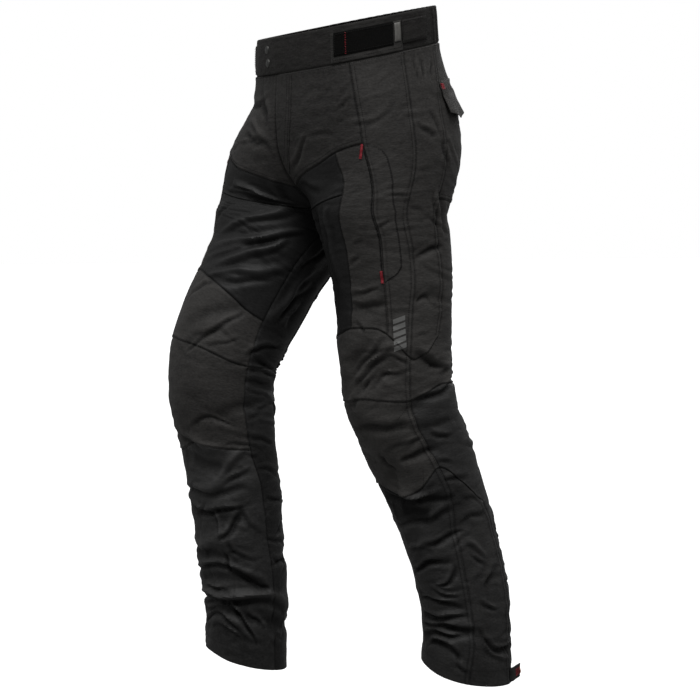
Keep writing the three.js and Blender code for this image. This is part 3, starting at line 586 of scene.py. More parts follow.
# The finer creases: u v of one end, of a place on the way and of the other end, then half width and depth.
fineFolds = {
    -1: [
        # out of the crotch and over the thigh
        (0.175, 833, 0.117, 819, 0.093, 795, 5.5, 4.5), (0.236, 818, 0.135, 815, 0.104, 799, 4.5, 3.0),
        (0.205, 824, 0.126, 816, 0.098, 797, 4.5, -4.0), (0.255, 657, 0.154, 711, 0.093, 795, 8.0, 5.5),
        (0.245, 628, 0.114, 672, 0.030, 722, 6.2, 5.5), (0.240, 605, 0.122, 645, 0.050, 694, 6.0, -3.5),
        (0.245, 588, 0.131, 626, 0.055, 690, 6.4, 5.5), (0.225, 580, 0.099, 606, 0.004, 645, 5.6, 5.0),
        (0.205, 572, 0.106, 585, 0.030, 606, 5.0, -4.0), (0.080, 800, 0.045, 825, 0.020, 850, 5.0, -4.0),
        (0.090, 916, 0.025, 894, 0.010, 862, 3.5, -3.5), (0.290, 700, 0.270, 730, 0.250, 780, 5.0, -2.5),
        # hip beside the middle
        (0.104, 985, 0.070, 966, 0.030, 930, 6.0, -4.5), (0.200, 966, 0.100, 962, 0.030, 953, 5.0, -3.5),
        (0.150, 950, 0.080, 930, 0.030, 912, 5.0, 4.0), (0.140, 922, 0.080, 908, 0.020, 896, 5.0, -4.0),
        # inner side of the thigh
        (0.986, 547, 0.964, 603, 0.940, 662, 5.5, 4.5), (0.968, 556, 0.949, 599, 0.921, 641, 5.0, 4.0),
        (0.935, 552, 0.931, 578, 0.918, 608, 3.5, 3.5), (0.978, 640, 0.960, 690, 0.930, 730, 4.0, -3.5),
        # above and beside the knee
        (0.168, 491, 0.107, 514, 0.060, 545, 3.0, -3.6), (0.203, 467, 0.138, 494, 0.088, 525, 2.8, -3.2),
        (0.133, 479, 0.093, 489, 0.046, 505, 2.6, -2.5), (0.272, 545, 0.228, 560, 0.182, 570, 3.0, -3.5),
        (0.017, 478, -0.026, 502, -0.114, 516, 4.0, -4.2), (0.010, 459, -0.050, 461, -0.129, 460, 3.5, -3.4),
        (0.004, 441, -0.046, 445, -0.111, 440, 3.5, -3.4),
        (-0.010, 425, -0.050, 424, -0.110, 416, 3.5, -2.6),
        # shin
        (0.217, 360, 0.122, 381, 0.036, 368, 2.8, -2.6), (0.270, 352, 0.200, 338, 0.090, 325, 6.0, -4.5),
        (0.230, 318, 0.170, 308, 0.110, 300, 15.0, -4.5), (0.151, 280, 0.092, 308, 0.028, 334, 5.0, 4.0),
        (0.153, 277, 0.082, 292, 0.004, 307, 4.0, 4.0), (0.370, 266, 0.120, 268, 0.025, 273, 5.4, -5.0),
        (0.350, 248, 0.126, 237, 0.054, 242, 4.5, -5.5), (0.150, 192, 0.090, 212, 0.054, 242, 5.2, -5.0),
        (0.215, 239, 0.150, 226, 0.146, 198, 3.5, 3.5), (0.380, 176, 0.206, 168, 0.154, 173, 8.0, -5.5),
        (0.120, 190, 0.090, 165, 0.060, 160, 4.0, -3.0), (0.390, 122, 0.106, 133, -0.014, 105, 5.0, -6.0),
        (0.110, 120, 0.058, 109, -0.001, 103, 5.0, -2.5), (0.400, 70, 0.083, 92, -0.093, 78, 5.0, -8.0),
        (0.370, 56, 0.119, 68, 0.044, 34, 4.2, -6.0), (0.320, 40, 0.144, 56, 0.079, 36, 3.6, -5.0),
        (0.264, 36, 0.146, 45, 0.101, 33, 3.0, -3.0), (0.260, 105, 0.200, 105, 0.135, 102, 3.5, -4.0),
        (0.086, 70, 0.042, 63, 0.004, 54, 4.0, -5.0), (0.138, 173, 0.135, 153, 0.132, 132, 3.4, -3.5),
        (0.097, 127, 0.035, 113, -0.021, 105, 3.8, -4.5), (0.056, 233, 0.037, 214, -0.010, 191, 4.6, -2.4),
        # behind the inseam
        (0.011, 352, -0.037, 348, -0.101, 337, 4.0, -3.0),
        (-0.020, 300, -0.060, 296, -0.120, 280, 4.0, -2.2),
        (-0.040, 249, -0.068, 246, -0.120, 238, 3.4, -2.6),
        (-0.030, 183, -0.072, 178, -0.128, 170, 3.6, -2.8),
        (-0.040, 148, -0.086, 143, -0.156, 135, 3.6, -3.0), (-0.010, 90, -0.090, 87, -0.200, 84, 11.0, 3.6),
        (0.000, 60, -0.090, 56, -0.200, 52, 8.0, -5.0), (0.360, 57, 0.181, 71, 0.085, 70, 4.2, -5.5),
    ],
    1: [
        # thigh
        (0.404, 745, 0.422, 757, 0.444, 762, 2.8, -2.5), (0.488, 700, 0.524, 712, 0.576, 719, 3.6, -4.0),
        (0.481, 627, 0.503, 639, 0.535, 628, 3.6, -3.5), (0.520, 634, 0.545, 622, 0.572, 619, 3.0, -2.5),
        (0.294, 641, 0.344, 647, 0.382, 653, 3.0, -3.0), (0.296, 626, 0.349, 624, 0.397, 628, 5.0, -3.0),
        (0.300, 601, 0.318, 590, 0.335, 581, 3.0, -3.0), (0.479, 577, 0.503, 579, 0.528, 579, 3.0, -2.0),
        (0.255, 790, 0.253, 740, 0.250, 690, 4.0, 3.0), (0.235, 790, 0.232, 720, 0.230, 640, 5.0, -3.5),
        (0.200, 780, 0.195, 720, 0.190, 660, 7.0, -4.0), (0.330, 722, 0.345, 726, 0.362, 728, 3.0, -2.0),
        (0.310, 690, 0.325, 698, 0.342, 702, 3.0, -2.5), (0.560, 815, 0.575, 775, 0.590, 735, 3.5, 4.0),
        (0.575, 815, 0.588, 780, 0.600, 740, 4.0, -3.0), (0.410, 800, 0.440, 804, 0.470, 800, 3.0, -2.0),
        # knee
        (0.390, 574, 0.343, 548, 0.263, 516, 3.0, -3.4), (0.401, 561, 0.345, 538, 0.264, 509, 3.0, 2.6),
        (0.401, 548, 0.343, 528, 0.264, 502, 3.0, -3.6), (0.396, 548, 0.428, 541, 0.453, 527, 2.8, -2.6),
        (0.336, 497, 0.374, 516, 0.425, 520, 3.2, -4.0), (0.300, 496, 0.336, 511, 0.364, 521, 3.0, -3.5),
        (0.475, 550, 0.525, 534, 0.600, 520, 4.5, -5.0), (0.465, 479, 0.530, 482, 0.680, 505, 4.8, -7.5),
        (0.250, 472, 0.270, 482, 0.290, 489, 4.0, -3.0), (0.210, 443, 0.338, 443, 0.432, 443, 6.0, -4.0),
        # shin
        (0.300, 405, 0.306, 383, 0.333, 370, 4.0, -4.5), (0.357, 386, 0.417, 393, 0.476, 392, 4.0, -5.0),
        (0.400, 408, 0.425, 414, 0.448, 416, 3.5, -3.0), (0.470, 372, 0.490, 369, 0.515, 362, 3.5, -3.0),
        (0.250, 346, 0.378, 327, 0.465, 328, 4.0, 4.5), (0.240, 328, 0.388, 314, 0.485, 309, 4.6, -5.0),
        (0.290, 309, 0.332, 297, 0.390, 294, 15.0, -9.0), (0.230, 276, 0.388, 284, 0.463, 293, 4.6, -5.0),
        (0.300, 232, 0.413, 245, 0.488, 249, 4.2, -5.0), (0.225, 178, 0.336, 203, 0.413, 203, 4.8, -6.0),
        (0.417, 200, 0.399, 174, 0.335, 159, 4.0, -5.0), (0.220, 121, 0.342, 125, 0.411, 116, 3.6, -5.0),
        (0.220, 88, 0.343, 95, 0.428, 105, 4.4, -5.5), (0.205, 70, 0.362, 79, 0.444, 82, 4.2, -6.5),
        (0.205, 52, 0.338, 66, 0.422, 72, 4.0, -6.5), (0.240, 36, 0.350, 49, 0.389, 36, 4.2, -6.5),
        (0.456, 84, 0.510, 56, 0.650, 61, 4.2, -5.0), (0.464, 71, 0.522, 44, 0.651, 50, 3.4, 3.0),
        (0.379, 41, 0.378, 28, 0.408, 18, 3.2, -2.5), (0.480, 205, 0.500, 196, 0.520, 185, 3.5, -3.0),
        (0.500, 300, 0.540, 296, 0.570, 280, 3.5, -2.5), (0.470, 262, 0.520, 268, 0.575, 262, 4.0, -4.0),
        (0.480, 232, 0.510, 220, 0.530, 196, 4.0, 3.5), (0.500, 150, 0.535, 166, 0.580, 180, 5.0, -4.5),
        (0.475, 128, 0.505, 116, 0.540, 112, 3.6, -3.5), (0.465, 340, 0.500, 336, 0.560, 330, 4.5, -4.0),
        (0.300, 152, 0.350, 140, 0.405, 138, 3.6, -3.5), (0.240, 236, 0.300, 240, 0.360, 232, 4.0, 3.0),
        (0.480, 420, 0.515, 408, 0.560, 404, 4.5, -4.0),
        # hip
        (0.129, 915, 0.099, 887, 0.028, 862, 3.5, -3.0), (0.279, 917, 0.338, 921, 0.404, 934, 3.5, -1.8),
        (0.231, 945, 0.261, 952, 0.285, 964, 3.0, -1.5), (0.554, 1003, 0.568, 986, 0.564, 966, 3.0, -6.5),
        (0.632, 1003, 0.624, 987, 0.600, 970, 3.0, -6.5), (0.530, 1003, 0.536, 985, 0.540, 962, 3.0, -6.0),
        (0.485, 912, 0.517, 899, 0.554, 892, 4.0, -3.5), (0.547, 927, 0.568, 905, 0.579, 883, 3.5, -3.0),
        (0.060, 840, 0.130, 832, 0.200, 815, 5.0, -3.0), (0.575, 885, 0.590, 862, 0.605, 845, 4.0, -3.5),
    ],
}


def bent(u1, v1, uWay, vWay, u2, v2, wide, deep):
    # The same fold as two ends and a bow.
    dx, dy = (u2 - u1) * perTurn, v2 - v1
    x, y = (uWay - u1) * perTurn, vWay - v1
    length = math.hypot(dx, dy)
    t = min(0.8, max(0.2, (x * dx + y * dy) / length**2))
    aside = (y * dx - x * dy) / length * (1 if dx >= 0 else -1)
    return u1, v1, u2, v2, aside / (4 * t * (1 - t)), wide, deep


def movedFolds(folds, byU, byV, lowU=-9.0, highU=9.0, topV=2000.0, wider=1.0, flatter=0.9, mirror=1):
    # The folds that lie between lowU and highU and start below topV, moved, and flatter than the drawn ones.
    some = [row for row in folds
            if row[1] < topV and lowU < min(row[0], row[2]) and max(row[0], row[2]) < highU]
    return [(byU + mirror * u1, v1 + byV, byU + mirror * u2, v2 + byV, bow, wide * wider, deep * flatter)
            for u1, v1, u2, v2, bow, wide, deep in some]


def drawnFolds():
    # Those of each leg, and on its far side, which no picture shows, some like those of the other leg.
    made = {side: [bent(*row) for row in fineFolds[side]] for side in (1, -1)}
    outer = movedFolds(made[1], 0.06, 11, lowU=0.29, topV=860)
    inner = movedFolds(made[-1], 0.0, -9, highU=0.19, topV=780)
    back = movedFolds(made[1], 1.16, 7, lowU=0.29, highU=0.56, topV=560, wider=1.1, flatter=0.8, mirror=-1)
    made[-1] += outer + back
    made[1] += inner + movedFolds(back, 0.0, 23)
    return made


# Places that crumple on their own: side, u from and to, v from and to, how many, longest and deepest in mm,
# slant up the cloth
crumple = {
    "leftCalf": (1, 0.22, 0.62, 20, 330, 34, 90, 1.7, 0.10),
    "leftKnee": (1, 0.24, 0.60, 360, 560, 24, 80, 1.5, 0.16),
    "leftThigh": (1, 0.22, 0.60, 590, 860, 26, 60, 1.0, 0.10),
    "leftSeat": (1, 0.50, 0.98, 600, 980, 40, 110, 1.5, -0.10),
    "leftHip": (1, 0.06, 0.50, 880, 1000, 22, 80, 0.9, 0.15),
    "leftBackKnee": (1, 0.58, 0.98, 340, 560, 30, 110, 2.2, 0.0),
    "leftBackCalf": (1, 0.58, 1.16, 10, 330, 40, 110, 1.7, 0.05),
    "leftInside": (1, 0.02, 0.22, 300, 780, 20, 90, 1.3, 0.0),
    "rightShin": (-1, 0.92, 1.28, 10, 340, 38, 80, 1.8, 0.0),
    "rightKnee": (-1, 0.90, 1.26, 340, 560, 14, 80, 1.1, 0.12),
    "rightThigh": (-1, 0.92, 1.26, 560, 860, 18, 100, 1.3, 0.3),
    "rightHip": (-1, 0.03, 0.50, 850, 1000, 30, 70, 1.5, 0.1),
    "rightOuter": (-1, 0.26, 0.62, 20, 860, 50, 100, 1.4, 0.0),
    "rightBackKnee": (-1, 0.56, 0.94, 340, 520, 30, 110, 2.4, 0.0),
    "rightBack": (-1, 0.56, 0.94, 20, 980, 60, 110, 1.6, -0.1),
}
crumpling = {
    "seed": 40, "shortest": 0.35, "shallowest": 0.35, "turn": 0.30, "troughs": 0.7, "ridge": 0.7, "bow": 6.0,
    "width": (2.6, 4.6),
}


def crumpledFolds():
    made = {1: [], -1: []}
    for number, place in enumerate(crumple.values()):
        side, lowU, highU, lowV, highV, count, longest, deepest, slant = place
        draw = np.random.default_rng(crumpling["seed"] + number)
        for _ in range(count):
            u, v = draw.uniform(lowU, highU), draw.uniform(lowV, highV)
            length = longest * draw.uniform(crumpling["shortest"], 1.0)
            rise = math.atan(slant) + draw.normal(0, crumpling["turn"])
            du, dv = length / perTurn * math.cos(rise) / 2, length * math.sin(rise) / 2
            deep = deepest * draw.uniform(crumpling["shallowest"], 1.0)
            deep = deep * (-1 if draw.random() < crumpling["troughs"] else crumpling["ridge"])
            bow, wide = draw.normal(0, crumpling["bow"]), draw.uniform(*crumpling["width"])
            made[side].append((u - du, v - dv, u + du, v + dv, bow, wide, deep))
    return made


# Cross sections of a crease, in half widths: height, middle and half width of each swell beside it
troughSwells = [(-0.62, 1.75, 1.0), (-0.22, -1.9, 1.3)]
ridgeSwells = [(-0.55, -1.6, 0.9), (-0.12, 2.0, 1.3)]
unevenness = {"sway": 0.025, "swayTurns": 1.3, "narrow": 0.75, "wide": 1.25, "lean": 0.35, "ends": 0.55}


def creaseShape(number, t, aside, ends, length, wide, deep):
    # An uneven crease: a trough with a welt above it, or a ridge that hangs over a dip.
    sway = unevenness["sway"] * length * np.sin(2 * np.pi * t * unevenness["swayTurns"] + number * 1.7)
    growing = t if number % 2 else 1 - t
    width = unevenness["narrow"] + (unevenness["wide"] - unevenness["narrow"]) * growing
    a = (aside - sway * ends) / (wide * width)
    shape = hump(a, 0, 1)
    for high, middle, half in troughSwells if deep < 0 else ridgeSwells:
        shape = shape + high * hump(a, middle, half)
    lean = 1 + unevenness["lean"] * math.sin(number * 2.3) * (2 * t - 1)
    return ends**unevenness["ends"] * lean * shape


def foldSum(folds, u, v, creased):
    # Height of many folds, as soft waves or as creases.
    total = np.zeros_like(u)
    for number, (u1, v1, u2, v2, bow, wide, deep) in enumerate(folds):
        run = u2 - u1 - round(u2 - u1)
        off = u - (u1 + run / 2)
        px = (off - np.round(off)) * perTurn
        py = v - (v1 + v2) / 2
        dx, dy = run * perTurn, v2 - v1
        length = math.hypot(dx, dy)
        margin = 4 * wide + abs(bow)
        near = (np.abs(px) < abs(dx) / 2 + margin) & (np.abs(py) < abs(dy) / 2 + margin)
        if not near.any():
            continue
        x, y = px[near], py[near]
        t = np.clip((x * dx + y * dy) / length**2 + 0.5, 0, 1)
        ends = 4 * t * (1 - t)
        aside = (x * -dy + y * dx) / length * (1 if dx >= 0 else -1) - bow * ends
        if creased:
            total[near] += deep * creaseShape(number, t, aside, ends, length, wide, deep)
        else:
            total[near] += deep * np.sqrt(ends) * hump(aside, 0, wide)
    return total


def softNoise(seed, around, tall, u, v):
    # Smooth noise, -1 to 1, that closes round the leg: cells around it, and the height of a cell in mm.
    lattice = np.random.default_rng(seed).uniform(-1, 1, (int(1300 / tall) + 4, around))
    x, y = (u % 1.0) * around, (v + 60) / tall
    i, j = np.floor(x).astype(int), np.floor(y).astype(int)
    fx, fy = x - i, y - j
    fx, fy = fx * fx * (3 - 2 * fx), fy * fy * (3 - 2 * fy)
    left, right = i % around, (i + 1) % around
    low = lattice[j, left] * (1 - fx) + lattice[j, right] * fx
    high = lattice[j + 1, left] * (1 - fx) + lattice[j + 1, right] * fx
    return low * (1 - fy) + high * fy


# Slack cloth. Each noise: its seed, cells around the leg, height of a cell in mm, strength
slackCloth = {
    "billow": [(11, 7, 62, 1.0), (21, 13, 31, 0.5)],
    "drift": [(51, 5, 95, 16.0), (61, 11, 43, 7.0)],
    "pillows": (71, 7, 23, 1.0), "smallPillows": (81, 15, 12, 0.5), "amount": (91, 5, 120, 0.5),
    "power": 0.7, "level": 0.45, "smallDrift": 1.5,
}


def noiseSum(rows, side, u, v):
    return sum(softNoise(seed + side, around, tall, u, v) * strength for seed, around, tall, strength in rows)


def rumple(side, u, v):
    # Pillows of slack cloth with sharp lines between them, lying across the leg and drawn out of line.
    drift = noiseSum(slackCloth["drift"], side, u, v)
    total = 0
    for name, share in (("pillows", 1.0), ("smallPillows", slackCloth["smallDrift"])):
        seed, around, tall, strength = slackCloth[name]
        height = np.abs(softNoise(seed + side, around, tall, u, v + share * drift))
        total = total + (height**slackCloth["power"] - slackCloth["level"]) * strength
    return total * (0.5 + noiseSum([slackCloth["amount"]], side, u, v))


# Sewing: which line, from and to which line, the side that the seam allowance is turned to, and how many rows
# of topstitching
sewing = [
    ("up", "inseam", "hem", "meshCross", 1, 0),
    ("up", "inseam", "meshCross", "waist", 1, 0),
    ("up", "end", "hem", "waist", -1, 0),
    ("up", "strip", "kneeHead", "yoke", 1, 1),
    ("up", "zip", "kneeHead", "waist", 1, 2),
    ("up", "side", "hem", "waist", -1, 2),
    ("up", "back", "hem", "cupFoot", -1, 2),
    ("up", "back", "kneeHead", "waist", -1, 2),
    ("up", "inner", "cupHead", "meshCross", -1, 1),
    ("round", "cupFoot", "inseam", "back", 1, 1),
    ("round", "cupHead", "inseam", "end", 1, 1),
    ("round", "kneeHead", "inseam", "back", 1, 1),
    ("round", "meshCross", "inseam", "strip", 1, 1),
    ("round", "meshCross", "back", "end", 1, 2),
    ("round", "yoke", "inseam", "zip", 1, 2),
    ("round", "waist", "inseam", "end", -1, 1),
]
stitching = {
    "rows": (2.2, 7.6), "groove": 1.2, "grooveHalf": 1.4, "rowGroove": 0.32, "rowHalf": 0.9,
    # the seam allowance under the cloth
    "raise": 0.9, "rises": 1.4, "falls": 1.8, "wideOne": 5.5, "wideTwo": 9.4,
    "pucker": 0.5, "puckerPitch": 11.0, "puckerReach": 9.0, "puckerFrom": 1.6, "sway": 31.0, "swell": 47.0,
    # where the cloth is worn and painted lighter as a highlight on the raised allowance, and the painted
    # shadows of the seam and of its second row
    "wearAndPaintedHighlight": (4.6, 1.8), "shadow": 1.5, "rowShadow": 0.75, "rowShadowHalf": 1.6, "ends": 4.0,
}


def seamDistance(kind, name, start, end, u, v):
    # Signed distance in mm from a seam, place along it in mm, and whether it runs there at all.
    metric = girthAt(v)
    if kind == "up":
        line = upLine(name, v)
        off, along = (u - line) * metric, v
        fromStart, toEnd = v - roundLine(start, line), roundLine(end, line) - v
    else:
        off, along = v - roundLine(name, u), u * perTurn
        fromStart, toEnd = (u - upLine(start, v)) * metric, (upLine(end, v) - u) * metric
    half = stitching["ends"] / 2
    return off, along, ramp(fromStart, -half, half) * ramp(toEnd, -half, half)


def seamLift(u, v):
    # Height of the seams, their worn edges with a painted highlight, and their painted shadows.
    total, edge, shadow = np.zeros_like(u), np.zeros_like(u), np.zeros_like(u)
    sewn = stitching
    for number, (kind, name, start, end, turned, rows) in enumerate(sewing):
        off, along, inside = seamDistance(kind, name, start, end, u, v)
        x = off * turned
        height = -sewn["groove"] * hump(x, 0, sewn["grooveHalf"])
        for place in sewn["rows"][:rows]:
            height = height - sewn["rowGroove"] * hump(x, place, sewn["rowHalf"])
        if rows:
            wide = sewn["wideTwo"] if rows > 1 else sewn["wideOne"]
            height = height + sewn["raise"] * ramp(x, 0, sewn["rises"]) * ramp(x, wide, wide - sewn["falls"])
        wave = np.sin(2 * np.pi * along / sewn["puckerPitch"] + 1.9 * np.sin(along / sewn["sway"] + number))
        swell = 0.55 + 0.45 * np.sin(along / sewn["swell"] + 2.1 * number)
        beside = hump(x, 0, sewn["puckerReach"]) * (1 - hump(x, 0, sewn["puckerFrom"]))
        total = total + (height + sewn["pucker"] * wave * swell * beside) * inside
        edge = np.maximum(edge, inside * hump(x, *sewn["wearAndPaintedHighlight"]))
        lines = hump(x, 0, sewn["shadow"])
        if rows > 1:
            lines = lines + sewn["rowShadow"] * hump(x, sewn["rows"][1], sewn["rowShadowHalf"])
        shadow = np.maximum(shadow, inside * lines)
    return total, edge, shadow


smallFolds = crumpledFolds()
mainFolds = drawnFolds()
depths = {
    "broad": 0.95, "fine": 0.82, "small": 1.0, "billow": 1.3, "rumple": 4.4,
    # v, and how much deeper the creases, the billows and the rumples are there
    "fineShares": ([300, 350], [1.22, 1.0]),
    "billowShares": ([300, 560, 700], [2.0, 1.6, 1.0]),
    "rumpleShares": ([0, 140, 240, 360, 480, 600, 760, 860, 1005],
                     [1.0, 0.95, 0.7, 0.55, 0.55, 0.35, 0.3, 0.3, 0.2]),
    # the broad folds give way to the drawn ones on the right thigh
    "thighLess": 0.8, "thighU": (0.30, 0.25), "thighLow": (575, 605), "thighHigh": (800, 760),
    # no fold at the middle of the trousers, nor at the waist seam
    "middleReach": 0.06, "middleRise": 40.0, "waistReach": 40.0,
}
# How much each kind of fold paints shade into its troughs and highlight onto its ridges, the height that
# counts as full, and the strength of the painted shadow along the seams
creasing = {"broad": 0.25, "fine": 1.1, "small": 0.9, "rumple": 0.6, "full": 3.4, "seams": 0.75}


def liftAt(side, u, v):
    # How far the cloth stands off its smooth form in mm, painted shade in its creases and seams and painted
    # highlight on its ridges, -1 to 1, and the wear and painted highlight along its seams.
    broad = foldSum(broadFolds[side], u, v, False) * depths["broad"]
    if side < 0:
        thigh = ramp(u, *depths["thighU"]) * ramp(v, *depths["thighLow"]) * ramp(v, *depths["thighHigh"])
        broad = broad * (1 - depths["thighLess"] * thigh)
    fine = foldSum(mainFolds[side], u, v, True) * depths["fine"] * np.interp(v, *depths["fineShares"])
    small = foldSum(smallFolds[side], u, v, True) * depths["small"]
    billow = noiseSum(slackCloth["billow"], side, u, v) * depths["billow"]
    billow = billow * np.interp(v, *depths["billowShares"])
    rumpled = rumple(side, u, v) * depths["rumple"] * np.interp(v, *depths["rumpleShares"])
    crotch, rise = size["crotch"], depths["middleRise"]
    fromMiddle = np.minimum(np.abs(u), np.abs(1 - u)) / depths["middleReach"]
    fromMiddle = np.where(v > crotch - rise, fromMiddle, 1)
    fromMiddle = np.where(v > crotch, fromMiddle, np.maximum(fromMiddle, (crotch - v) / rise))
    fade = np.clip(fromMiddle, 0, 1) * ramp(v, size["waistSeam"], size["waistSeam"] - depths["waistReach"])
    seams, edge, shadow = seamLift(u, v)
    seams = seams * ramp(v, size["waistSeam"] + 6, size["waistSeam"] + 2)
    heights = {"broad": broad, "fine": fine, "small": small, "rumple": rumpled}
    # troughs get painted shade, ridges painted highlight, and the seams a painted shadow
    paintedShadeAndHighlight = sum(height * creasing[name] for name, height in heights.items()) * fade / creasing["full"]
    lift = (broad + fine + small + billow + rumpled) * fade + seams
    return lift, np.clip(paintedShadeAndHighlight, -1, 1) - shadow * creasing["seams"], edge


# painted light (+) and painted shade (-) for places on the legs
paintedLightAndShadeLevels = {"hem": -0.20, "yoke": -0.16, "leftCalf": 0.02, "leftShin": 0.14, "underCup": -0.42, "leftLeg": 0.14,
         "rightBehind": -0.22, "rightShin": 0.45}


def paintedLightAndShadeAt(side, u, v):
    # Painted light (+) and painted shade (-): darker toward the hems, on the front of the hips, under the
    # left knee cup and behind the right calf; lighter over the left leg, its shin, and the top of the right
    # shin.
    paintedLightAndShade = paintedLightAndShadeLevels["hem"] * ramp(v, 150, 50) + paintedLightAndShadeLevels["yoke"] * ramp(v, 860, 920) * ramp(u, 0.34, 0.26)
    if side > 0:
        calf = ramp(v, 330, 300) * np.where(u > upLine("side", v), paintedLightAndShadeLevels["leftCalf"], paintedLightAndShadeLevels["leftShin"])
        under = paintedLightAndShadeLevels["underCup"] * ramp(v, 270, 295) * ramp(v, 345, 330) * ramp(u, 0.56, 0.50)
        return paintedLightAndShade + calf + under + paintedLightAndShadeLevels["leftLeg"] * ramp(v, 200, 280) * ramp(v, 760, 680)
    below = v < roundLine("cupFoot", u) + 1
    behind = paintedLightAndShadeLevels["rightBehind"] * ramp(u, 0.80, 0.85) * ramp(v, 360, 330)
    return paintedLightAndShade + behind + paintedLightAndShadeLevels["rightShin"] * below * ramp(v, 235, 295) * ramp(np.abs(u), 0.30, 0.24)


def clothAt(side, u, v, extra=0.0):
    # Points of the finished surface in mm, the normals of the smooth form, the painted shade and highlight,
    # and the wear and painted highlight.
    u, v = np.asarray(u, float), np.asarray(v, float)
    lift, paintedShadeAndHighlight, edge = liftAt(side, u, v)
    out = normalAt(side, u, v)
    return formAt(side, u, v) + out * (lift + extra)[..., None], out, paintedShadeAndHighlight, edge


# Grid of one leg, with lines close together beside each seam

nearSeam = [0.9, 2.2, 4.4, 7.0, 9.4]
clothStep = 2.9
gridRounds = 24  # rounds in which the rows and columns settle on each other


def spread(width):
    # Shares of the way from one seam to the next.
    first, last = nearSeam[-1], width - nearSeam[-1]
    inner = np.linspace(first, last, max(2, round((last - first) / clothStep) + 1))
    places = [*nearSeam[:-1], *inner, *(width - place for place in reversed(nearSeam[:-1])), width]
    return [place / width for place in places]


def gridLines(seams, widths):
    names = list(seams)
    out = [(names[0], names[0], 0.0)]
    for low, high in zip(names, names[1:]):
        out += [(low, high, share) for share in spread(widths[high])]
    return out


def lineIndex(lines, seams):
    return {name: next(n for n, (low, high, share) in enumerate(lines)
                       if (high == name and share == 1) or (low == name and share == 0)) for name in seams}


columns = gridLines(upSeams, upWidths)
rows = gridLines(roundSeams, roundWidths)
columnOf = lineIndex(columns, upSeams)
rowOf = lineIndex(rows, roundSeams)


def betweenSeams(lines, names, places):
    # Where each grid line runs, from the places of the two seams that it lies between.
    low = np.stack([places[names.index(low)][n] for n, (low, _, _) in enumerate(lines)])
    high = np.stack([places[names.index(high)][n] for n, (_, high, _) in enumerate(lines)])
    return low + (high - low) * np.array([share for _, _, share in lines])[:, None]


def gridPlaces():
    u = np.full((len(rows), len(columns)), 0.5)
    rowNames, columnNames = list(roundSeams), list(upSeams)
    for _ in range(gridRounds):
        v = betweenSeams(rows, rowNames, [roundLine(name, u) for name in rowNames])
        places = [upLine(name, v).T for name in columnNames]
        u = betweenSeams(columns, columnNames, places).T
    crotchRow = rowOf["meshCross"]
    middle = (np.abs(u[crotchRow]) < 1e-6) | (np.abs(u[crotchRow] - 1) < 1e-6)
    v[crotchRow] = np.where(middle, size["crotch"], v[crotchRow])
    return u, v


def gridNormals(points, side):
    along, up = np.gradient(points, axis=1), np.gradient(points, axis=0)
    return unit(np.cross(along, up) * side)


def besideMiddle(points, side):
    # Near the middle plane no point passes it by more than a hair.
    x = side * points[..., 0]
    near = np.abs(x) < size["nearMiddle"]
    points[..., 0] = np.where(near, side * np.maximum(x, size["middle"]), points[..., 0])


def legGrid(side, u, v):
    form = formAt(side, u, v)
    out = gridNormals(form, side)
    lift, paintedShadeAndHighlight, edge = liftAt(side, u, v)
    point = form + out * lift[..., None]
    above = (v >= size["crotch"] - 1e-6) & ((u < 1e-6) | (u > 1 - 1e-6))
    point[..., 0] = np.where(above, 0, point[..., 0])
    besideMiddle(point, side)
    return {"side": side, "u": u, "v": v, "point": point, "normal": out, "paintedShadeAndHighlight": paintedShadeAndHighlight, "wearAndPaintedHighlight": edge}


# Meshes

drawnIn = {"panel": -0.05, "band": 0.15}  # mm that the edges are drawn in by
angles = {"smooth": 50, "bevel": 55, "studSmooth": 40, "studBevel": 25}
leastFill = 0.31  # least share of its width times length that a cut piece may state


def selectOnly(piece):
    bpy.ops.object.select_all(action="DESELECT")
    bpy.context.view_layer.objects.active = piece
    piece.select_set(True)


def bevelEdges(piece, width, angle):
    rounding = piece.modifiers.new("rounding", "BEVEL")
    rounding.width = width * mm
    rounding.segments = 2
    rounding.limit_method = "ANGLE"
    rounding.angle_limit = math.radians(angle)
    bpy.ops.object.modifier_apply(modifier="rounding")


def newPiece(name, points, faces, look):
    mesh = bpy.data.meshes.new(name)
    mesh.from_pydata((points * mm).tolist(), [], faces)
    mesh.materials.append(materials[look])
    piece = bpy.data.objects.new(name, mesh)
    bpy.context.scene.collection.objects.link(piece)
    return piece


def markCloth(mesh, uvs, marks):
    # The piece's own map, in metres, and the values that its finish reads.
    layer = mesh.uv_layers.new(name="cloth")
    corner = np.empty(len(mesh.loops), int)
    mesh.loops.foreach_get("vertex_index", corner)
    layer.data.foreach_set("uv", (uvs[corner] * mm).ravel())
    for key, values in marks.items():
        mark = mesh.attributes.new(key, "FLOAT", "POINT")
        mark.data.foreach_set("value", values.astype(np.float32))
    mesh.update()


def thicken(piece, wall, bevel):
    selectOnly(piece)
    solid = piece.modifiers.new("wall", "SOLIDIFY")
    solid.thickness = wall * mm
    solid.offset = -1
    bpy.ops.object.modifier_apply(modifier="wall")
    if bevel:
        bevelEdges(piece, bevel, angles["bevel"])
    bpy.ops.object.shade_smooth_by_angle(angle=math.radians(angles["smooth"]))
    piece.select_set(False)


def cutSize(points, has):
    # Width, length and area in metres of the cloth cut for some cells of a grid.
    across, up = np.diff(points, axis=1)[:-1], np.diff(points, axis=0)[:, :-1]
    width = round((np.linalg.norm(across, axis=-1) * has).sum(1).max() * mm, 4)
    length = round((np.linalg.norm(up, axis=-1) * has).sum(0).max() * mm, 4)
    area = (np.linalg.norm(np.cross(across, up), axis=-1) * has).sum() * mm**2
    return (width, length), float(np.clip(area, leastFill * width * length, width * length))


def everyCell(grid):
    high, wide = grid["u"].shape
    return np.ones((high - 1, wide - 1), bool)


def cellsIn(grid, blocks):
    has = ~everyCell(grid)
    for left, right, low, high in blocks:
        has[rowOf[low]:rowOf[high], columnOf[left]:columnOf[right]] = True
    return has


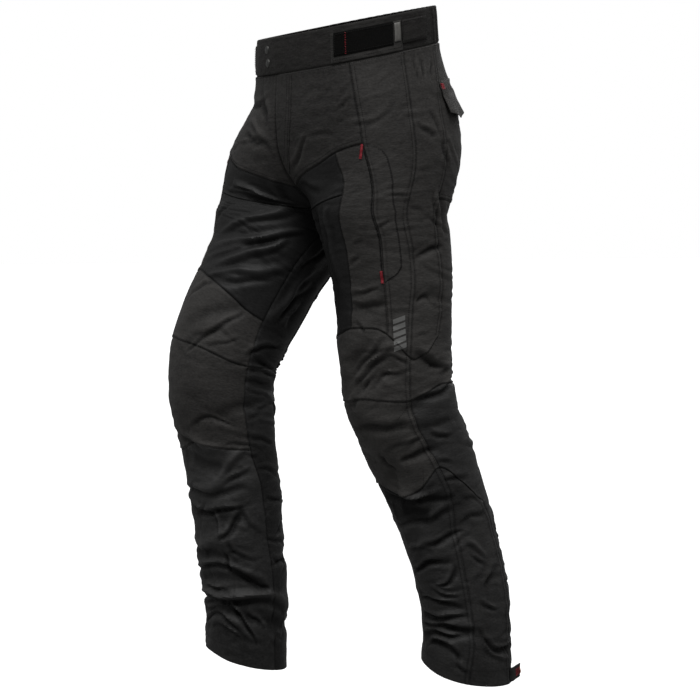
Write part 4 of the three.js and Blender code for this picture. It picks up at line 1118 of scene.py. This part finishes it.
def drawIn(points, has, inset):
    # The points of a grid with the rim of some of its cells moved in, and which points those cells use.
    padded = np.pad(has, 1).astype(int)
    lowLeft, lowRight, topLeft, topRight = padded[:-1, :-1], padded[:-1, 1:], padded[1:, :-1], padded[1:, 1:]
    used = lowLeft + lowRight + topLeft + topRight > 0
    stepI = np.sign(lowRight + topRight - lowLeft - topLeft)
    stepJ = np.sign(topLeft + topRight - lowLeft - lowRight)
    j, i = np.indices(used.shape)
    moved = points.copy()
    for toI, toJ in ((stepI, 0), (0, stepJ)):
        neighbour = points[np.clip(j + toJ, 0, len(j) - 1), np.clip(i + toI, 0, len(j[0]) - 1)]
        length = np.linalg.norm(neighbour - points, axis=-1, keepdims=True)
        moved += np.where(length > 1e-6, (neighbour - points) / np.maximum(length, 1e-6) * inset, 0)
    return moved, used


def clothPiece(name, grid, look, wall, has=None, inset=0.0, bevel=0.0):
    # A sheet over some cells of a grid, or over all of them.
    has = everyCell(grid) if has is None else has
    side = grid["side"]
    points, used = drawIn(grid["point"], has, inset)
    if side:
        besideMiddle(points, side)
    index = np.full(used.shape, -1)
    index[used] = np.arange(used.sum())
    quads = np.stack([index[:-1, :-1], index[:-1, 1:], index[1:, 1:], index[1:, :-1]], -1)[has]
    if grid.get("flip", side < 0):
        quads = quads[:, ::-1]
    piece = newPiece(name, points[used], quads.tolist(), look)
    paintedLightAndShade = paintedLightAndShadeAt(side, grid["u"], grid["v"]) if side else np.zeros(used.shape)
    marks = {"paintedShadeAndHighlight": grid["paintedShadeAndHighlight"][used], "wearAndPaintedHighlight": grid["wearAndPaintedHighlight"][used], "paintedLightAndShade": paintedLightAndShade[used]}
    markCloth(piece.data, np.stack([grid["u"] * perTurn, grid["v"]], -1)[used], marks)
    thicken(piece, wall, bevel)
    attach(piece, "root")
    return piece


def cutPiece(node, grid, look, wall, has=None, inset=0.0, bevel=0.0):
    # A sheet that is cut for one solid and takes its place, on the sheets of other solids.
    piece = clothPiece(node + "Cloth", grid, look, wall, has, inset, bevel)
    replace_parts(piece, node)
    flat, area = cutSize(grid["point"], everyCell(grid) if has is None else has)


gridU, gridV = gridPlaces()
grids = {side: legGrid(side, gridU, gridV) for side in (1, -1)}
print("cloth laid out:", gridU.shape)

# Panels: node, finish, and blocks of cells between two seams up the cloth and two around it
panels = {
    "frontYoke": ("shell", [("inseam", "zip", "yoke", "waist")]),
    "thighMeshUpper": ("stretchMesh", [("inseam", "strip", "meshCross", "yoke")]),
    "thighMeshLower": ("stretchMesh", [("inseam", "strip", "kneeHead", "meshCross")]),
    "frontStrip": ("shell", [("strip", "zip", "kneeHead", "yoke")]),
    "sideFront": ("sideCloth", [("zip", "side", "kneeHead", "waist")]),
    "sideBack": ("sideCloth", [("side", "back", "kneeHead", "waist")]),
    "seat": ("shell", [("back", "end", "meshCross", "waist")]),
    "thighBack": ("shell", [("back", "inner", "cupHead", "meshCross"),
                            ("side", "back", "cupHead", "kneeHead")]),
    "thighMeshBack": ("stretchMesh", [("inner", "end", "cupHead", "meshCross")]),
    "kneePanel": ("shell", [("inseam", "side", "cupHead", "kneeHead")]),
    "kneeCup": ("shell", [("inseam", "side", "cupFoot", "cupHead")]),
    "shin": ("shinCloth", [("inseam", "side", "hem", "cupFoot")]),
    "calfSide": ("calfCloth", [("side", "back", "hem", "cupFoot")]),
    "calfBack": ("shinCloth", [("back", "end", "hem", "cupFoot"), ("side", "end", "cupFoot", "cupHead")]),
}
for side, grid in grids.items():
    for node, (look, blocks) in panels.items():
        cutPiece(node + hands[side], grid, look, size["wall"], cellsIn(grid, blocks), drawnIn["panel"])
print("panels sewn")

# Layers on the panels


def between(low, high, share):
    return low + (high - low) * share


def sharesOf(layer):
    # Shares of the way across a small piece, and of the way up it.
    return np.linspace(0, 1, layer["across"])[None, :], np.linspace(0, 1, layer["up"])[:, None]


def edgeOf(layer, v):
    edge = np.array(layer["edge"])
    return np.interp(v, edge[:, 0], edge[:, 1])


def ownGrid(side, u, v, lift):
    # A grid of its own over the cloth at places u and v.
    u, v = np.broadcast_arrays(u, v)
    point, out, paintedShadeAndHighlight, edge = clothAt(side, u, v, lift)
    return {"side": side, "u": u, "v": v, "point": point, "normal": out, "paintedShadeAndHighlight": paintedShadeAndHighlight, "wearAndPaintedHighlight": edge}


patch = {
    "low": 663.0, "top": 884.0, "across": 20, "up": 74, "thick": 0.9, "fromZip": 2.0, "leastWide": 0.002,
    "rim": 2.4, "rimThick": 0.35, "rimShadow": 2.4,
    # v, u of the back edge
    "edge": [(663, 0.399), (676, 0.432), (688, 0.446), (742, 0.452), (777, 0.452), (826, 0.418), (866, 0.381),
             (878, 0.362), (884, 0.33)],
}


def pocketPatch(side):
    share, rise = sharesOf(patch)
    v = between(patch["low"], patch["top"], rise)
    front = upLine("zip", v) + patch["fromZip"] / girthAt(v)
    back = np.maximum(edgeOf(patch, v), front + patch["leastWide"])
    # the front edge is tucked under the zip, so its rim is narrower
    rim = np.minimum(np.minimum(share * 3, 1 - share) * (back - front) * girthAt(v) / patch["rim"], 1)
    lift = size["seam"] + patch["thick"] * between(patch["rimThick"], 1, rim)
    grid = ownGrid(side, between(front, back, share), v, lift)
    grid["paintedShadeAndHighlight"] = grid["paintedShadeAndHighlight"] - (1 - rim) * patch["rimShadow"]
    cutPiece(f"pocketPatch{hands[side]}", grid, "sideCloth", patch["thick"])


fly = {
    "low": 858.0, "top": 1003.0, "across": 16, "up": 50, "thick": 1.0, "fromMiddle": 0.3, "edgeThin": 0.45,
    # v, u of the curved edge
    "edge": [(856, 0.006), (862, 0.022), (872, 0.037), (900, 0.055), (938, 0.072), (1003, 0.078)],
}


def flyFacing():
    share, rise = sharesOf(fly)
    v = between(fly["low"], fly["top"], rise)
    lift = size["seam"] + fly["thick"] * (1 - fly["edgeThin"] * share**6)
    grid = ownGrid(1, between(fly["fromMiddle"] / girthAt(v), edgeOf(fly, v), share), v, lift)
    cutPiece("flyFacing", grid, "shell", fly["thick"])


flap = {
    "front": 0.632, "back": 0.80, "low": 912.0, "top": 962.0, "across": 34, "up": 18, "thick": 1.4,
    "bevel": 0.4, "point": 8.0, "stand": 6.5, "curl": 1.4, "wave": 1.6,
}


def backFlap(side):
    share, rise = sharesOf(flap)
    low = flap["low"] + flap["point"] * np.abs(2 * share - 1)  # lowest in the middle
    stand = flap["stand"] + flap["wave"] * np.sin(share * 9) * (1 - rise)
    lift = size["seam"] + flap["thick"] + (1 - rise)**flap["curl"] * stand
    grid = ownGrid(side, between(flap["front"], flap["back"], share), between(low, flap["top"], rise), lift)
    cutPiece(f"backPocketFlap{hands[side]}", grid, "sideCloth", flap["thick"], bevel=flap["bevel"])


tab = {
    "front": 0.60, "back": 0.662, "low": 2.0, "top": 21.0, "across": 16, "up": 10, "thick": 1.6, "bevel": 0.4,
    "stand": 12.0, "wave": 1.2,
}


def tabLift(share):
    return size["seam"] + tab["thick"] + share * (tab["stand"] + tab["wave"] * np.sin(share * 7 + 1))


def hemTab(side):
    share, rise = sharesOf(tab)
    u, v = between(tab["front"], tab["back"], share), between(tab["low"], tab["top"], rise)
    cutPiece(f"hemTab{hands[side]}", ownGrid(side, u, v, tabLift(share)), "shinCloth", tab["thick"],
             bevel=tab["bevel"])


for side in (1, -1):
    pocketPatch(side)
    backFlap(side)
    hemTab(side)
flyFacing()
print("layers laid on")

# Waistband

band = {
    "rows": [1005.4, 1006.2, 1007.6, 1010, 1013, 1017, 1021, 1025, 1029, 1033, 1037, 1041, 1045, 1048.5,
             1051.5, 1054, 1056, 1057.3, 1058],
    "frontEnd": 0.66, "step": 0.0068, "bevel": 0.5, "stitchRows": (1011.0, 1052.5),
    "tabEnd": 0.112, "tabStart": 0.0005, "tabColumns": 18, "tabLift": 2.5, "tabFade": 0.035,
    "ribs": 20, "ribColumns": 150, "ribDepth": 1.35, "ribLevel": -0.25, "ribShade": 0.5,
    # padding between the rows of stitching: height, v from and to, fullness
    "puff": 0.75, "puffed": (1011.0, 1053.0), "fullness": 0.6,
    # rounded edges, and the dents along the stitching: v, depth, half width
    "dents": [(1005.4, 1.3, 1.2), (1011.0, 0.35, 0.9), (1058.0, 1.4, 1.0), (1052.5, 0.35, 0.9)],
    # waves along it: depth, length in mm over a turn of the sine, start
    "waves": [(0.28, 13.0, 0.0), (0.22, 5.7, 1.0)],
}


def bandShape(v):
    shape = band["puff"] * np.sin(ramp(v, *band["puffed"]) * np.pi)**band["fullness"]
    return shape - sum(deep * hump(v, at, half) for at, deep, half in band["dents"])


def overTab(u):
    # The left band lies over the right one at the middle, and comes down to its own cloth.
    return band["tabLift"] * ramp(u, band["tabFade"], 0)**1.5


def bandGrid(path, flip):
    # path holds side, u and lift for each column.
    sides, u, lift = np.array(path, float).T
    u, v = np.broadcast_arrays(u[None, :], np.array(band["rows"])[:, None])
    point, out = np.empty((*u.shape, 3)), np.empty((*u.shape, 3))
    for side in (1, -1):
        mine = sides == side
        if mine.any():
            out[:, mine] = normalAt(side, u[:, mine], v[:, mine])
            point[:, mine] = formAt(side, u[:, mine], v[:, mine])
    steps = np.linalg.norm(np.diff(point[len(v) // 2], axis=0), axis=-1)
    along = np.r_[0, np.cumsum(steps)]
    wave = sum(deep * np.sin(along / length + start) for deep, length, start in band["waves"])
    swell = np.sin(ramp(v, size["waistSeam"], size["waistTop"]) * np.pi)
    point += out * (bandShape(v) + lift + wave * swell)[..., None]
    zero = np.zeros(u.shape)
    return {"side": 0, "flip": flip, "u": zero + along / perTurn, "v": v, "point": point, "normal": out,
            "paintedShadeAndHighlight": zero, "wearAndPaintedHighlight": zero}


def waistbands():
    places = np.linspace(0, band["frontEnd"], round(band["frontEnd"] / band["step"]))
    tabPlaces = np.linspace(band["tabEnd"], band["tabStart"], band["tabColumns"])
    paths = {
        -1: [(-1, u, 0.0) for u in places],
        1: [(-1, u, band["tabLift"]) for u in tabPlaces] + [(1, u, overTab(u)) for u in places[1:]],
    }
    for side, path in paths.items():
        cutPiece(f"waistbandFront{hands[side]}", bandGrid(path, side < 0), "bandCloth", size["bandWall"],
                 inset=drawnIn["band"], bevel=band["bevel"])
    for side in (1, -1):
        t = np.linspace(0, 1, band["ribColumns"])
        lift = band["ribLevel"] + band["ribDepth"] * np.cos(t * band["ribs"] * np.pi + 0.5 * np.sin(t * 23))
        back = bandGrid(np.stack([side + 0 * t, between(band["frontEnd"], 1, t), lift], -1), side < 0)
        # painted shade between the ribs and painted highlight on their tops
        back["paintedShadeAndHighlight"] = back["paintedShadeAndHighlight"] + lift * band["ribShade"]
        cutPiece(f"waistbandBack{hands[side]}", back, "bandCloth", size["bandWall"], inset=drawnIn["band"])


waistbands()

# Waist adjuster: base, loop strip, tip and strap, on the front band
adjuster = {
    # finish, u from and to, v from and to, thickness, lift, crown
    "adjusterPatch": ("sideCloth", 0.232, 0.491, 1006.5, 1048, 1.0, 2.1, 0.0),
    "adjusterLoop": ("loopTape", 0.243, 0.454, 1015, 1048, 1.0, 3.5, 0.3),
    "adjusterTip": ("tip", 0.458, 0.484, 1019, 1045.5, 1.6, 4.1, 0.9),
    "adjusterStrap": ("bandCloth", 0.493, 0.62, 1015, 1047.5, 1.6, 3.2, 0.4),
}
adjusterMake = {"step": 0.006, "fewest": 9, "up": 13, "around": 470.0, "rim": 1.6, "wave": 0.25, "bevel": 0.3}


def adjusterPieces(side):
    for node, (look, start, end, low, top, thick, lift, crown) in adjuster.items():
        count = max(adjusterMake["fewest"], round((end - start) / adjusterMake["step"]))
        share, rise = sharesOf({"across": count, "up": adjusterMake["up"]})
        u, v = np.broadcast_arrays(between(start, end, share), between(low, top, rise))
        toSide = np.minimum(share, 1 - share) * (end - start) * adjusterMake["around"]
        toTop = np.minimum(rise, 1 - rise) * (top - low)
        rim = np.minimum(np.minimum(toSide, toTop) / adjusterMake["rim"], 1)
        lifted = lift + (rim - 1) * thick * 0.5 + crown * np.sin(rise * np.pi)
        lifted = lifted + adjusterMake["wave"] * np.sin(share * 17 + 2 * side)
        out = normalAt(side, u, v)
        point = formAt(side, u, v) + out * lifted[..., None]
        grid = {"side": side, "u": u, "v": v, "point": point, "normal": out, "paintedShadeAndHighlight": 0 * u, "wearAndPaintedHighlight": 1 - rim}
        cutPiece(node + hands[side], grid, look, thick, bevel=adjusterMake["bevel"])


for side in (1, -1):
    adjusterPieces(side)
print("waistband made")

# Topstitching

stitch = {
    "pitch": 3.5, "long": 2.7, "wide": 0.72, "raise": 0.12, "bandRaise": 0.15, "flat": 0.8, "waist": 0.27,
    "hem": 22.0, "patchEdge": 2.4,
}
# A stitch, as long and as wide as 1: a point, two rings of four and a point
turns = [n * math.pi / 2 for n in range(4)]
rings = [(end * stitch["waist"], math.cos(turn) / 2, math.sin(turn) / 2) for end in (-1, 1) for turn in turns]
stitchShape = np.array([(-0.5, 0, 0), *rings, (0.5, 0, 0)])
around = [(n, (n + 1) % 4) for n in range(4)]
stitchEnds = np.array([(0, 1 + b, 1 + a) for a, b in around] + [(9, 5 + a, 5 + b) for a, b in around])
stitchSides = np.array([(1 + a, 1 + b, 5 + b, 5 + a) for a, b in around])


def threadPiece(name, parts, look, long, wide):
    # Many short threads as one mesh. Each part holds their centres, directions and normals.
    centres, along, normals = [np.concatenate(part)[:, None] for part in zip(*parts)]
    across = np.cross(normals, along)
    x, y, z = np.moveaxis(stitchShape, -1, 0)[..., None]
    points = centres + along * x * long + across * y * wide + normals * z * wide * stitch["flat"]
    first = (np.arange(len(centres)) * len(stitchShape))[:, None, None]
    faces = [(first + ring).reshape(-1, ring.shape[1]).tolist() for ring in (stitchEnds, stitchSides)]
    piece = newPiece(name, points.reshape(-1, 3), faces[0] + faces[1], look)
    selectOnly(piece)
    bpy.ops.object.shade_smooth()
    piece.select_set(False)
    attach(piece, "root")
    return piece


def readLine(places, length, rows):
    return np.stack([np.interp(places, length, column) for column in rows.T], -1)


def alongPath(points, normals):
    # Centres, directions and normals of stitches along a line of points.
    length = np.r_[0, np.cumsum(np.linalg.norm(np.diff(points, axis=0), axis=1))]
    places = np.arange(stitch["pitch"] / 2, length[-1], stitch["pitch"])
    ahead, behind = readLine(places + 0.4, length, points), readLine(places - 0.4, length, points)
    return readLine(places, length, points), unit(ahead - behind), unit(readLine(places, length, normals))


def polyline(points, step=2.0):
    # Rounded line through a few places u, v.
    points = np.array(points, float)
    length = np.r_[0, np.cumsum(np.linalg.norm(np.diff(points * [perTurn, 1], axis=0), axis=1))]
    places = np.arange(0, length[-1], step)
    line = sum(readLine(places + shift, length, points) for shift in (-5, -2.5, 0, 2.5, 5)) / 5
    line[0], line[-1] = points[0], points[-1]
    return line.T


# Lines of stitching that follow no seam between panels: side, lift in mm, and the places
looseLines = [
    (1, 0.0, [(0.399, 454), (0.425, 464), (0.451, 478)]),
    (1, 0.0, [(0.417, 368), (0.404, 349), (0.390, 329)]),
    (-1, 0.0, [(0.143, 178), (0.129, 139), (0.119, 112), (0.125, 83)]),
    (1, 1.3, [(0.070, 1003), (0.066, 940), (0.050, 900), (0.032, 873), (0.004, 862)]),
    (1, 1.3, [(0.0585, 1003), (0.0545, 945), (0.040, 905), (0.024, 882), (0.004, 873)]),
]


def stitchPaths(side):
    # u, v and lift of every line of stitching on a leg.
    found = []
    for kind, name, start, end, turned, rowCount in sewing:
        for place in stitching["rows"][:rowCount]:
            if kind == "up":
                v = np.arange(0.0, 1060.0, 2.0)
                u = upLine(name, v)
                inside = (v > roundLine(start, u) + 3) & (v < roundLine(end, u) - 3)
                u = u + place * turned / girthAt(v)
            else:
                u = np.arange(-0.04, 1.04, 0.004)
                v = roundLine(name, u)
                inside = (u > upLine(start, v) + 0.004) & (u < upLine(end, v) - 0.004)
                v = v + place * turned
            found.append((u[inside], v[inside], 0.0))
    u = np.arange(-0.03, 0.965, 0.004)
    found.append((u, np.full_like(u, stitch["hem"]), 0.0))
    found += [(*polyline(points), lift) for lineSide, lift, points in looseLines if lineSide == side]
    v = np.arange(patch["low"] + 3, patch["top"] - 3, 2.0)
    found.append((edgeOf(patch, v) - stitch["patchEdge"] / girthAt(v), v, size["seam"] + patch["thick"]))
    return [path for path in found if len(path[0]) > 2]


def sewLeg(side):
    parts = [alongPath(*clothAt(side, u, v, lift + stitch["raise"])[:2]) for u, v, lift in stitchPaths(side)]
    threadPiece(f"topstitch{hands[side]}", parts, "thread", stitch["long"], stitch["wide"])
    print("stitches on the", hands[side].lower(), "leg:", sum(len(centres) for centres, _, _ in parts))


for side in (1, -1):
    sewLeg(side)

# Rectangles stitched on the adjuster: u from and to, v from and to, lift
adjusterSeams = [
    (0.238, 0.486, 1010.5, 1045.5, 2.2),
    (0.247, 0.45, 1018, 1045, 3.9),
    (0.497, 0.616, 1018, 1045, 3.7),
]


def bandLine(side, u, v, lift):
    u, v = np.broadcast_arrays(u, v)
    out = normalAt(side, u, v)
    return alongPath(formAt(side, u, v) + out * (lift + 0 * u)[..., None], out)


def sewBand():
    parts = []
    onTab, tabSeam = band["tabLift"] + stitch["bandRaise"], band["tabEnd"] - 0.008
    u = np.arange(0.004, 0.655, 0.004)
    for v in band["stitchRows"]:
        above = bandShape(v) + stitch["bandRaise"]
        parts.append(bandLine(1, u, v, overTab(u) + above))
        parts.append(bandLine(-1, u[u > band["tabEnd"] + 0.01], v, above))
        parts.append(bandLine(-1, np.arange(tabSeam, 0.002, -0.004), v, bandShape(v) + onTab))
    v = np.arange(1012.0, 1052.0, 2.0)
    parts.append(bandLine(-1, tabSeam, v, bandShape(v) + onTab))
    t = np.linspace(0, 1, 30)
    for side in (1, -1):
        for left, right, low, top, lift in adjusterSeams:
            corners = [(left, low), (right, low), (right, top), (left, top), (left, low)]
            for (fromU, fromV), (toU, toV) in zip(corners, corners[1:]):
                parts.append(bandLine(side, between(fromU, toU, t), between(fromV, toV, t), lift))
    threadPiece("bandStitch", parts, "thread", stitch["long"], stitch["wide"])


sewBand()

# Bar tacks on both sides: u, v, length up the cloth, width, lift
tacks = {
    "zipTackUpper": (0.301, 878, 22, 5.0, 1.0),
    "zipTackLower": (0.391, 671, 19, 5.0, 1.0),
    "flapTack": (0.646, 955, 7.5, 14.0, 2.6),
}
tackThread = {"pitch": 0.85, "wide": 1.05, "lean": 0.12, "shift": 0.25}


def barTack(name, side, u, v, length, width, lift):
    draw = np.random.default_rng(len(name) + int(v))
    heights = np.arange(-length / 2, length / 2, tackThread["pitch"])
    point, out, _, _ = clothAt(side, np.full(len(heights), u), v + heights, lift)
    up = unit(np.gradient(point, axis=0))
    across = unit(np.cross(up, out)) + up * draw.normal(0, tackThread["lean"], (len(heights), 1))
    point = point + across * draw.normal(0, tackThread["shift"], (len(heights), 1))
    threadPiece(name, [(point, unit(across), out)], "redThread", width, tackThread["wide"])


# A zigzag of red thread down the front end of the loop strip
zigzag = {
    "u": 0.283, "low": 1016.5, "top": 1046.5, "step": 2.4, "lift": 4.35, "lean": 0.35,
    "long": 3.2, "wide": 0.6,
}


def adjusterTack(side):
    heights = np.arange(zigzag["low"], zigzag["top"], zigzag["step"])
    u = np.full(len(heights), zigzag["u"])
    out = normalAt(side, u, heights)
    point = formAt(side, u, heights) + out * zigzag["lift"]
    up = unit(np.gradient(point, axis=0))
    lean = np.where(np.arange(len(heights)) % 2, zigzag["lean"], -zigzag["lean"])[:, None]
    parts = [(point, unit(unit(np.cross(up, out)) + up * lean), out)]
    threadPiece(f"adjusterTack{hands[side]}", parts, "redThread", zigzag["long"], zigzag["wide"])


# Coloured thread on the end of the hem tab: shares of its width, how many columns are red and how many rows
tabThread = {
    "from": 0.52, "to": 0.96, "columns": 12, "red": 9, "rows": 6, "margin": 5.0, "raise": 0.35,
    "long": 2.0, "wide": 0.7,
}


def hemTabThread(side):
    shares = np.linspace(tabThread["from"], tabThread["to"], tabThread["columns"])
    low, top = tab["low"] + tabThread["margin"], tab["top"] - tabThread["margin"]
    heights = np.linspace(low, top, tabThread["rows"])
    red, orange = shares[:tabThread["red"]], shares[tabThread["red"]:]
    for name, look, some in (("hemTabRed", "redThread", red), ("hemTabOrange", "orangeThread", orange)):
        share, v = [places.ravel() for places in np.meshgrid(some, heights)]
        u, lift = between(tab["front"], tab["back"], share), tabLift(share) + tabThread["raise"]
        point, out, _, _ = clothAt(side, u, v, lift)
        ahead = clothAt(side, u + nearby["u"], v, lift)[0]
        threadPiece(name + hands[side], [(point, unit(ahead - point), out)], look, tabThread["long"],
                    tabThread["wide"])


# Zip of the thigh pocket: a tape, and on it two rows of short teeth, one half a pitch behind the other
pocketCoil = {
    "low": 668.0, "top": 872.0, "pitch": 1.5, "apart": 0.5, "aside": -0.3, "raise": 0.75,
    "toothLong": 0.9, "toothWide": 0.45, "toothLean": 0.25,
    "tapeHalf": 0.7, "tapeThick": 0.6, "tapeHollow": 0.3, "tapeStep": 2.5,
}


def pocketZip(side):
    coil, name = pocketCoil, f"pocketZip{hands[side]}"
    v = np.arange(coil["low"] - 4, coil["top"] + 6, coil["tapeStep"])[:, None]
    share = np.linspace(-1, 1, 9)[None, :]
    u = upLine("zip", v) + (share * coil["tapeHalf"] + coil["aside"]) / girthAt(v)
    grid = ownGrid(side, u, v, coil["tapeThick"] - coil["tapeHollow"] * (1 - share**2))
    tape = clothPiece(name + "Tape", grid, "bandCloth", coil["tapeThick"])
    parts = []
    for row, behind in ((-1, 0.0), (1, coil["pitch"] / 2)):
        heights = np.arange(coil["low"] + behind, coil["top"], coil["pitch"])
        places = upLine("zip", heights) + (row * coil["apart"] + coil["aside"]) / girthAt(heights)
        point, out, _, _ = clothAt(side, places, heights, coil["raise"])
        up = unit(np.gradient(point, axis=0))
        parts.append((point, unit(np.cross(up, out) + up * coil["toothLean"] * row), out))
    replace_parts(threadPiece(name + "Coil", parts, "coil", coil["toothLong"], coil["toothWide"]), name)


for side in (1, -1):
    for name, tack in tacks.items():
        barTack(name + hands[side], side, *tack)
    adjusterTack(side)
    hemTabThread(side)
    pocketZip(side)
print("zips and tacks sewn")

# Press studs on the tab

stud = {
    "radius": 6.8, "rim": 1.1, "sides": 40, "rounding": 0.18, "lift": 0.7,
    # rings of its cap, from the outside in: width and step up
    "rings": [(1.1, 0.75), (0.8, -0.25), (0.5, 0.35), (2.2, 0.35)],
    "places": {"snapUpper": (0.055, 1041.0), "snapLower": (0.047, 1022.0)},
}


def pressStud(name, u, v):
    u, v = np.array([u]), np.array([v])
    out = normalAt(-1, u, v)[0]
    foot = formAt(-1, u, v)[0] + out * (band["tabLift"] + stud["lift"])
    bpy.ops.object.select_all(action="DESELECT")
    radius, high = stud["radius"] * mm, stud["rim"] * mm
    bpy.ops.mesh.primitive_cylinder_add(vertices=stud["sides"], radius=radius, depth=high)
    piece = bpy.context.object
    piece.name = name + "Cap"
    bpy.ops.object.mode_set(mode="EDIT")
    bpy.ops.mesh.select_all(action="DESELECT")
    bpy.ops.object.mode_set(mode="OBJECT")
    for face in piece.data.polygons:
        face.select = face.normal.z > 0.9
    bpy.ops.object.mode_set(mode="EDIT")
    for width, step in stud["rings"]:
        bpy.ops.mesh.inset(thickness=width * mm, depth=step * mm)
    bpy.ops.object.mode_set(mode="OBJECT")
    bevelEdges(piece, stud["rounding"], angles["studBevel"])
    piece.rotation_euler = Vector(out).to_track_quat("Z", "Y").to_euler()
    piece.location = Vector(foot) * mm
    bpy.ops.object.transform_apply(location=True, rotation=True, scale=True)
    bpy.ops.object.shade_smooth_by_angle(angle=math.radians(angles["studSmooth"]))
    piece.data.materials.append(materials["metal"])
    piece.select_set(False)
    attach(piece, "root")
    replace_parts(piece, name)


for name, (u, v) in stud["places"].items():
    pressStud(name, u, v)
print("press studs set")

# Plain grey reflective bars where the thigh carries a print
bars = {
    "u": 0.430, "low": 556.0, "high": 606.0, "count": 5, "width": 0.034, "gap": 3.2, "slant": 7.0,
    "thick": 0.25, "raise": 0.1, "across": 12, "up": 6,
}


def greyBars():
    share, rise = sharesOf(bars)
    tall = (bars["high"] - bars["low"] - bars["gap"] * (bars["count"] - 1)) / bars["count"]
    u = bars["u"] + bars["width"] * (share - 0.5)
    for n in range(bars["count"]):
        v = bars["low"] + n * (tall + bars["gap"]) + tall * rise + bars["slant"] * (share - 0.5)
        clothPiece(f"greyBar{n + 1}", ownGrid(1, u, v, bars["thick"] + bars["raise"]), "print", bars["thick"])


greyBars()
print("print laid on")
